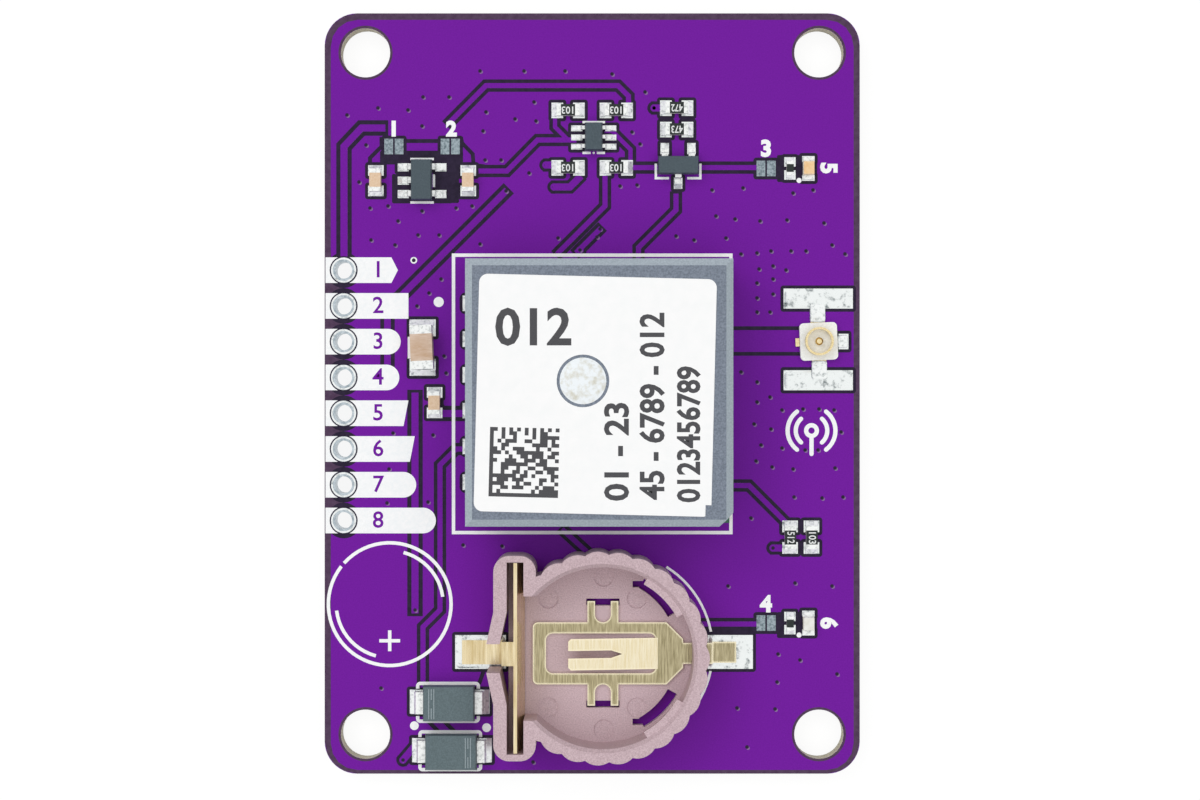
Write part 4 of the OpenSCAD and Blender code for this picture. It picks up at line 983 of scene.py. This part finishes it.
    def tracks(self) -> Piece:
        """Draws the masked copper of the tracks and inside the moats.

        Returns:
            The copper as one sheet.
        """
        sheet = Sketch("copper_tracks")
        for trace in self.traces():
            sheet.strip(trace.places, trace.copper, self.track_cap)
        for moat in self.moats:
            sheet.disc(at(*moat), self.moat_r - self.moat_width / 2, self.moat_steps)
        return sheet.lay(self.copper_rise)

    def vias(self, name: str, shift: float, rise: float) -> Piece:
        """Draws a small disc at every tented via, one modelled and the rest copied from it.

        Args:
            name: the piece's name.
            shift: how far down and right the discs stand; the shifted pale discs are painted highlights for
                the dimples' lit walls.
            rise: the discs' height above the board.

        Returns:
            The discs as one piece.
        """
        sheet = Sketch(name)
        here = Vector((0, 0, 0))
        sheet.disc(here, self.via_r, self.via_sides)
        for i, (x, y) in enumerate(self.via_places()):
            there = Vector((x + shift, y - shift, 0.0))
            if i == 0:
                bpy.ops.transform.translate(value=there)
            else:
                bpy.ops.mesh.duplicate_move(TRANSFORM_OT_translate={"value": there - here})
            here = there
        return sheet.lay(rise)

    def via_places(self) -> list[Point]:
        """Gathers the stitching vias read off the photo, in rows by region.

        Returns:
            Their places in mm.
        """
        top_row = ((480, 71), (524, 71), (565, 71), (612, 74), (645, 92))
        beside_regulator = (
            (423, 97), (449, 97), (378, 108), (408, 110), (347, 115), (422, 126), (366, 145),
            (359, 182), (370, 208), (388, 206), (422, 211), (456, 208), (472, 206))
        below_regulator = (
            (398, 221), (418, 235), (439, 235), (371, 240), (395, 245), (441, 279), (429, 293),
            (417, 306), (444, 356), (446, 373))
        middle_top = (
            (486, 112), (534, 102), (536, 121), (515, 119), (483, 131), (485, 160), (501, 160), (529, 173),
            (480, 244), (558, 238), (506, 191), (600, 229), (632, 132), (640, 144), (620, 186), (637, 185))
        right_top = (
            (712, 190), (743, 188), (793, 193), (813, 190), (716, 216), (735, 219), (760, 221), (787, 220),
            (824, 223), (597, 237), (676, 236), (694, 240), (726, 238), (832, 245))
        beside_jack = (
            (741, 254), (757, 253), (771, 251), (791, 251), (806, 251), (845, 254), (759, 269), (773, 266),
            (786, 270), (757, 283), (773, 279), (757, 298), (773, 294), (757, 312), (770, 312),
            (741, 372), (757, 382), (770, 397))
        below_jack = (
            (757, 402), (782, 410), (803, 409), (819, 409), (834, 410), (754, 424), (771, 429), (761, 445),
            (782, 448), (805, 450), (818, 450), (841, 432), (756, 461), (772, 467), (793, 469), (835, 468),
            (794, 497), (822, 498), (843, 497), (751, 518))
        lower_right = (
            (728, 586), (795, 583), (832, 586), (778, 654), (800, 660), (837, 674), (777, 682), (737, 708),
            (775, 709), (747, 747))
        lower_left = (
            (433, 435), (393, 433), (389, 469), (387, 503), (428, 502), (463, 545), (502, 546), (415, 610),
            (381, 688), (533, 762))
        groups = (top_row, beside_regulator, below_regulator, middle_top, right_top, beside_jack, below_jack,
                  lower_right, lower_left, self.moats, (self.open_via_at,))
        return [at(*place) for group in groups for place in group]


@dataclass(frozen=True)
class Joint:
    """Where a fillet of solder stands, which way it runs down and how large it is."""

    foot: Vector
    heading: float
    size: Vector


@dataclass
class SolderWork(SubAssembly):
    """Solder run up the chip ends and leads, and pooled on the large pads."""

    finishes: ClassVar[dict[str, tuple[Finish, str]]] = {
        "solder_fillets": (SOLDER, "feed_solder"), "solder_pools": (TIN, "pad_tin"),
        "tail_solder": (SOLDER, "feed_solder"),
    }

    ends: Sequence[str] = ("resistor_ends", "regulator_capacitor_ends", "bulk_capacitor_ends",
                           "bypass_capacitor_ends", "regulator_leads", "shifter_leads", "transistor_leads",
                           "input_diode_leads", "backup_diode_leads")
    least_run: float = 0.12
    run_share: float = 0.96
    chip_share: float = 0.62
    side_share: float = 1.12
    slope: float = 0.8
    lead_rise: float = 0.2
    hollow: float = 0.95
    hollow_profile: float = 0.24
    hollow_steps: int = 6
    fillet_round: float = 0.05
    tail_lap: float = 0.03
    tail_past: float = 0.12
    tail_shift: float = 0.06
    tail_width: float = 1.12
    tail_corner: float = 0.2
    signal_short: float = 0.08
    signal_narrow: float = 0.2
    signal_corner: float = 0.15
    tail_rise: float = 0.22
    tail_round: float = 0.08
    pool_least: float = 1.2
    pool_margin: float = 0.12
    pool_corner: float = 0.3
    pool_slope: float = 0.18
    pool_edge: float = 0.02
    pool_rise: float = 0.1
    pool_flat: float = 0.1

    def build(self) -> dict[str, Piece]:
        """Runs the solder.

        Returns:
            The fillets, the pools and the solder on the jack's tails, by name.
        """
        first = self.fillet()
        copies = []
        for joint in self.joints():
            take(first)
            bpy.ops.object.duplicate()
            copy = bpy.context.object
            copy.scale = joint.size
            copy.rotation_euler.z = joint.heading
            copy.location = joint.foot
            bpy.ops.object.transform_apply(location=True, rotation=True, scale=True)
            copies.append(copy)
        bpy.data.objects.remove(first)
        fillets = join("solder_fillets", copies)
        return {"solder_fillets": fillets, "solder_pools": self.pools(), "tail_solder": self.tail_solder()}

    def fillet(self) -> Piece:
        """Models one hollow-faced fillet of unit size, its tall face at the middle of its base.

        Returns:
            The fillet.
        """
        free_selection()
        bpy.ops.mesh.primitive_cube_add(size=1.0, location=(0.5, 0.0, 0.5))
        piece = bpy.context.object
        bpy.ops.object.transform_apply(location=True, rotation=False, scale=False)
        bpy.ops.object.mode_set(mode="EDIT")
        choose(piece, "EDGE", lambda e: all(v.co.x > 0.9 and v.co.z > 0.9 for v in e.verts))
        bpy.ops.mesh.bevel(offset=self.hollow, segments=self.hollow_steps, profile=self.hollow_profile,
                           affect="EDGES")
        bpy.ops.object.mode_set(mode="OBJECT")
        soften(piece, lambda e: all(abs(v.co.y) > 0.49 for v in e.verts)
               and all(v.co.x > 0.03 or v.co.z > 0.9 for v in e.verts) and e.calc_face_angle(0) > 0.8
               and any(v.co.z > 0.05 for v in e.verts), self.fillet_round, 50.0)
        return piece

    def joints(self) -> list[Joint]:
        """Finds each free run of pad in front of a chip end or a lead.

        Returns:
            The fillets' places and sizes.
        """
        pads = solids("component_pads")
        found = []
        for node in self.ends:
            for end in solids(node):
                pad = next((p for p in pads if p.holds(end.middle)), None)
                if pad is None:
                    continue
                free = {0.0: pad.high.x - end.high.x, math.pi: end.low.x - pad.low.x,
                        math.pi / 2: pad.high.y - end.high.y, -math.pi / 2: end.low.y - pad.low.y}
                heading = max(free, key=lambda way: free[way])
                if free[heading] < self.least_run:
                    continue
                along = Vector((math.cos(heading), math.sin(heading), 0.0))
                foot = end.middle + along * (abs(along.x) * end.size.x / 2 + abs(along.y) * end.size.y / 2)
                foot.z = pad.high.z
                width = abs(along.y) * end.size.x + abs(along.x) * end.size.y
                tall = min(end.size.z * self.chip_share, free[heading] * self.slope)
                if node.endswith("leads"):
                    tall = self.lead_rise
                size = Vector((free[heading] * self.run_share, width * self.side_share, tall))
                found.append(Joint(foot, heading, size))
        return found

    def tail_solder(self) -> Piece:
        """Covers the jack's two ground tails and its signal tail.

        Returns:
            The solder as one piece.
        """
        sheet = Sketch("tail_solder")
        base, shell, signal = solids("jack_base")[0], solids("jack_shell")[0], solids("jack_pads")[1]
        near, far = base.size.y / 2 - self.tail_lap, shell.size.y / 2 + self.tail_past
        for way in (-1, 1):
            sheet.rect((base.middle.x - way * self.tail_shift, base.middle.y + way * (near + far) / 2),
                       (self.tail_width, far - near), self.tail_corner)
        near, far = base.high.x - self.tail_lap, signal.high.x - self.signal_short
        sheet.rect(((near + far) / 2, signal.middle.y), (far - near, signal.size.y - self.signal_narrow),
                   self.signal_corner)
        top = base.low.z + self.tail_rise
        piece = sheet.thicken(base.low.z + SINK, top)
        soften(piece, lambda e: all(v.co.z > top - 0.02 for v in e.verts), self.tail_round)
        return piece

    def pools(self) -> Piece:
        """Models the low pillows of solder on the holder's and the jack's large pads.

        Returns:
            The pillows as one piece.
        """
        pads = [pad for node in ("holder_pads", "jack_pads") for pad in solids(node)
                if min(pad.size.x, pad.size.y) > self.pool_least]
        sheet = Sketch("solder_pools")
        for pad in pads:
            size = (pad.size.x - self.pool_margin, pad.size.y - self.pool_margin)
            sheet.rect(pad.middle, size, self.pool_corner)
            bpy.ops.mesh.inset(thickness=self.pool_slope)
        top = pads[0].high.z
        piece = sheet.thicken(top - SINK, top + self.pool_edge)
        bpy.ops.object.mode_set(mode="EDIT")
        choose(piece, "FACE", lambda f: f.normal.z > 0.9 and len(f.verts) > 4 and any(
            abs(f.verts[0].co.x - pad.middle.x) < pad.size.x / 2 - 0.2
            and abs(f.verts[0].co.y - pad.middle.y) < pad.size.y / 2 - 0.2 for pad in pads))
        bpy.ops.transform.translate(value=(0, 0, self.pool_rise - self.pool_edge))
        bpy.ops.mesh.inset(thickness=self.pool_flat, use_individual=True)
        bpy.ops.object.mode_set(mode="OBJECT")
        bpy.ops.object.shade_smooth_by_angle(angle=math.radians(60))
        return piece


@dataclass
class PrintWork(SubAssembly):
    """Plain numbers on the board, the flags, the resistors and the label, and the radio symbol."""

    finishes: ClassVar[dict[str, tuple[Finish, str]]] = {
        "flag_numbers": (MASK, "board_mask"), "place_numbers": (INK, "print_ink"),
        "resistor_figures": (FIGURES, "alumina"), "antenna_symbol": (INK, "print_ink"),
        "label_figures": (LABEL_INK, "label_paper"), "label_code": (LABEL_INK, "label_paper"),
        "diode_lines": (LASER, "diode_epoxy"),
    }

    film: float = 0.004
    thin_film: float = 0.003
    film_sink: float = 0.005
    flag_x: float = -15.2
    flag_height: float = 1.15
    flag_weight: float = 0.02
    board_numbers: Sequence[Figure] = (
        Figure("1", (-14.1, 18.75), 1.0, weight=0.08), Figure("2", (-10.0, 18.75), 1.0, weight=0.08),
        Figure("3", (12.35, 17.35), 1.1, weight=0.08), Figure("4", (12.35, -15.0), 1.1, weight=0.08),
        Figure("5", (16.75, 16.0), 1.1, Axis.DOWN, 0.08), Figure("6", (16.75, -16.3), 1.1, Axis.DOWN, 0.08))
    value_codes: Sequence[str] = ("472", "103", "103", "473", "103", "103", "512", "103")
    value_size: Point = (0.82, 0.5)
    value_weight: float = 0.01
    least_coat: float = 0.6
    symbol_at: Point = (811.5, 430.6)
    symbol_line: float = 0.3
    symbol_ring: Point = (0.38, 0.31)
    symbol_stem: Point = (0.4, 1.66)
    symbol_bows: Route = ((1.12, 0.85), (1.7, 0.92))
    symbol_rise: float = 0.02
    label_numbers: Sequence[Figure] = (
        Figure("012", (-4.0, 4.4), 2.45, Axis.ACROSS, 0.08, 5.2),
        Figure("01 - 23", (1.78, -3.95), 1.6, Axis.UP, 0.06, 6.7),
        Figure("45 - 6789 - 012", (4.21, -0.87), 1.6, Axis.UP, 0.06, 12.8),
        Figure("0123456789", (6.7, -2.8), 1.5, Axis.UP, 0.06, 9.3))
    label_turn: float = math.radians(-1.4)
    code_middle: Point = (-4.64, -4.73)
    code_side: float = 4.75
    code_cells: int = 18
    diode_line_width: float = 0.06
    diode_line_insets: Route = ((0.44, 0.0), (0.62, 0.3), (0.8, 0.0))
    diode_line_short: float = 0.44
    diode_line_sink: float = 0.02

    def build(self) -> dict[str, Piece]:
        """Prints the board, the resistors, the label and the diodes.

        Returns:
            The printed pieces by name.
        """
        ink = solids("white_print")[0].high.z
        base = BOARD_TOP - self.film_sink
        places = [(self.flag_x, header_place(i)[1]) for i in range(HEADER_COUNT)]
        flags = [Figure(str(i), place, self.flag_height, weight=self.flag_weight)
                 for i, place in enumerate(places, 1)]
        return {
            "flag_numbers": print_figures("flag_numbers", flags, ink - self.film_sink, ink + self.film),
            "place_numbers": print_figures("place_numbers", self.board_numbers, base, ink),
            "resistor_figures": self.resistor_figures(), "antenna_symbol": self.antenna_symbol(),
            "label_figures": self.label_figures(), "label_code": self.label_code(),
            "diode_lines": self.diode_lines(),
        }

    def resistor_figures(self) -> Piece:
        """Prints the value figures on the eight larger resistors.

        Returns:
            The figures as one piece.
        """
        figures, top = [], 0.0
        length, height = self.value_size
        coats = [c for c in solids("resistor_coats") if min(c.size.x, c.size.y) > self.least_coat]
        for code, coat in zip(self.value_codes, coats):
            axis = Axis.OVER if coat.size.x > coat.size.y else Axis.DOWN
            place = (coat.middle.x, coat.middle.y)
            figures.append(Figure(code, place, height, axis, self.value_weight, length))
            top = coat.high.z
        return print_figures("resistor_figures", figures, top - SINK, top + self.thin_film)

    def antenna_symbol(self) -> Piece:
        """Draws the generic radio symbol beside the jack: a ring on a stem between bows.

        Returns:
            The symbol.
        """
        sheet = Sketch("antenna_symbol")
        x, y = at(*self.symbol_at)
        upper, lower = self.symbol_stem
        end_r, end_sides = self.symbol_line / 2, 12
        sheet.arc((x, y), *self.symbol_ring, 24)
        sheet.strip(((x, y - upper), (x, y - lower)), self.symbol_line)
        sheet.disc((x, y - lower), end_r, end_sides)
        for radius, half in self.symbol_bows:
            for way in (0.0, math.pi):
                sheet.arc((x, y), radius, self.symbol_line, 14, way - half, 2 * half)
                for end in (way - half, way + half):
                    sheet.disc((x + radius * math.cos(end), y + radius * math.sin(end)), end_r, end_sides)
        return sheet.lay(self.symbol_rise)

    def label_figures(self) -> Piece:
        """Returns the running digits on the label."""
        top = solids("receiver_label")[0].high.z
        return print_figures("label_figures", self.label_numbers, top - SINK, top + self.film)

    def label_code(self) -> Piece:
        """Prints a plain block of cells, solid along two edges, set by a fixed rule.

        Returns:
            The block.
        """
        free_selection()
        bpy.ops.mesh.primitive_grid_add(
            x_subdivisions=self.code_cells, y_subdivisions=self.code_cells, size=self.code_side,
            location=(0, 0, 0))
        piece = bpy.context.object
        piece.name = "label_code"
        cell = self.code_side / self.code_cells
        last = self.code_cells - 1
        chance = random.Random(self.code_cells)

        def blank(face: bmesh.types.BMFace) -> bool:
            """Tells whether a cell stays white.

            Args:
                face: the cell.

            Returns:
                False for a printed cell.
            """
            middle = face.calc_center_median()
            column = int((middle.x + self.code_side / 2) / cell)
            row = int((middle.y + self.code_side / 2) / cell)
            if column == 0 or row == 0:
                return False
            if column == last or row == last:
                return (column + row) % 2 == 1
            return chance.random() < 0.5

        bpy.ops.object.mode_set(mode="EDIT")
        choose(piece, "FACE", blank)
        bpy.ops.mesh.delete(type="FACE")
        bpy.ops.mesh.select_all(action="SELECT")
        close_sheet(SINK + self.film)
        piece.rotation_euler.z = self.label_turn
        piece.location = (*self.code_middle, solids("receiver_label")[0].high.z - SINK)
        return piece

    def diode_lines(self) -> Piece:
        """Draws the thin light lines at the marked ends of the two diodes, the middle one split.

        Returns:
            The lines as one piece.
        """
        sheet = Sketch("diode_lines")
        first, second = solids("input_diode_body")[0], solids("backup_diode_body")[0]
        for body, way in ((first, -1), (second, 1)):
            for inset, split in self.diode_line_insets:
                x = body.middle.x + way * (body.size.x / 2 - inset)
                long = (body.size.y - self.diode_line_short) / 2 - split
                for half in (-1, 1):
                    middle = (x, body.middle.y + half * (split + long / 2))
                    sheet.rect(middle, (self.diode_line_width, long))
        return sheet.thicken(first.high.z - self.diode_line_sink, first.high.z + self.thin_film)


@dataclass(frozen=True)
class Lamp:
    """A square soft lamp that looks at the board: its place and side in metres and its power in watts."""

    name: str
    place: tuple[float, float, float]
    side: float
    watts: float

    def hang(self) -> None:
        """Adds the lamp, hidden from reflections."""
        data = bpy.data.lights.new(self.name, "AREA")
        data.shape = "SQUARE"
        data.size = self.side
        data.energy = self.watts
        lamp = bpy.data.objects.new(self.name, data)
        lamp.location = self.place
        lamp.visible_glossy = False
        lamp.rotation_euler = (-lamp.location).to_track_quat("-Z", "Y").to_euler()
        bpy.context.collection.objects.link(lamp)


@dataclass
class Studio:
    """Camera, lamps, world and floor of a plain product picture from above."""

    distance: float = 175.0
    sensor: float = 36.0
    overhead: Lamp = Lamp("overhead", (0.0, 0.0, 1.3), 2.4, 17.5)
    key: Lamp = Lamp("key", (-0.70, 0.70, 1.05), 0.75, 3.5)
    sky: float = 0.34
    floor_side: float = 3.0
    floor_drop: float = 0.0002
    floor_grey: str = "#6c6c6c"
    floor_glow: float = 0.88

    def build(self) -> None:
        """Sets the picture up, with a wide soft lamp that leaves few shadows and a weak key."""
        self.camera()
        self.overhead.hang()
        self.key.hang()
        self.world()
        self.floor()
        bpy.context.scene.view_settings.view_transform = "Standard"

    def camera(self) -> None:
        """Puts the camera straight above the picture's middle."""
        x, y = at(*PHOTO_MIDDLE)
        data = bpy.data.cameras.new("camera")
        data.sensor_width = self.sensor
        data.lens = self.sensor * self.distance / (2 * PHOTO_MIDDLE[0] / PX_PER_MM)
        data.clip_start = 0.001
        data.dof.use_dof = False
        eye = bpy.data.objects.new("camera", data)
        eye.location = (x * MM, y * MM, (BOARD_TOP + self.distance) * MM)
        bpy.context.collection.objects.link(eye)
        bpy.context.scene.camera = eye

    @staticmethod
    def seen(tree: Tree) -> Socket:
        """Tells what the camera sees, straight or in a reflection or through something clear.

        Args:
            tree: the tree that asks.

        Returns:
            A socket that gives 1 for such a ray.
        """
        ray = add_node(tree, "ShaderNodeLightPath")
        sharp = add_node(tree, "ShaderNodeMath", {
            0: ray.outputs["Is Glossy Ray"], 1: ray.outputs["Is Transmission Ray"]}, operation="MAXIMUM")
        return add_node(tree, "ShaderNodeMath", {
            0: ray.outputs["Is Camera Ray"], 1: sharp.outputs["Value"]}, operation="MAXIMUM").outputs["Value"]

    def world(self) -> None:
        """Gives even light from all round, and white to the camera and to reflections."""
        world = bpy.data.worlds.new("white_room")
        bpy.context.scene.world = world
        tree = empty_tree(world)
        dim = add_node(tree, "ShaderNodeBackground", {"Color": (1, 1, 1, 1), "Strength": self.sky})
        white = add_node(tree, "ShaderNodeBackground", {"Color": (1, 1, 1, 1), "Strength": 1.0})
        both = add_node(tree, "ShaderNodeMixShader", {
            0: self.seen(tree), 1: dim.outputs["Background"], 2: white.outputs["Background"]})
        add_node(tree, "ShaderNodeOutputWorld", {"Surface": both.outputs["Shader"]})

    def floor(self) -> None:
        """Lays a pale floor just under the board, white where it is seen, that keeps the shadow."""
        free_selection()
        bpy.ops.mesh.primitive_plane_add(size=self.floor_side, location=(0, 0, -self.floor_drop))
        ground = bpy.context.object
        ground.name = "floor"
        material = bpy.data.materials.new("white_paper_floor")
        tree = empty_tree(material)
        paper = add_node(tree, "ShaderNodeBsdfDiffuse", {"Color": linear(self.floor_grey)})
        glow = add_node(tree, "ShaderNodeEmission", {"Color": (1, 1, 1, 1), "Strength": self.floor_glow})
        lifted = add_node(tree, "ShaderNodeAddShader", {
            0: paper.outputs["BSDF"], 1: glow.outputs["Emission"]})
        both = add_node(tree, "ShaderNodeMixShader", {
            0: self.seen(tree), 1: paper.outputs["BSDF"], 2: lifted.outputs["Shader"]})
        add_node(tree, "ShaderNodeOutputMaterial", {"Surface": both.outputs["Shader"]})
        ground.data.materials.append(material)


def dress_nodes() -> None:
    """Gives every CAD node its finish."""
    for node, finish in NODE_FINISHES.items():
        paint(bpy.data.objects[node], finish)
    LOG.info("CAD nodes: %d dressed", len(NODE_FINISHES))


def main() -> None:
    """Dresses the CAD nodes, builds the new pieces in order and sets the picture up."""
    logging.basicConfig(level=logging.INFO, format="%(message)s")
    dress_nodes()
    for part in (BoardFace(), SolderWork(), PrintWork()):
        part.dress()
    Studio().build()


if __name__ == "__main__":
    main()
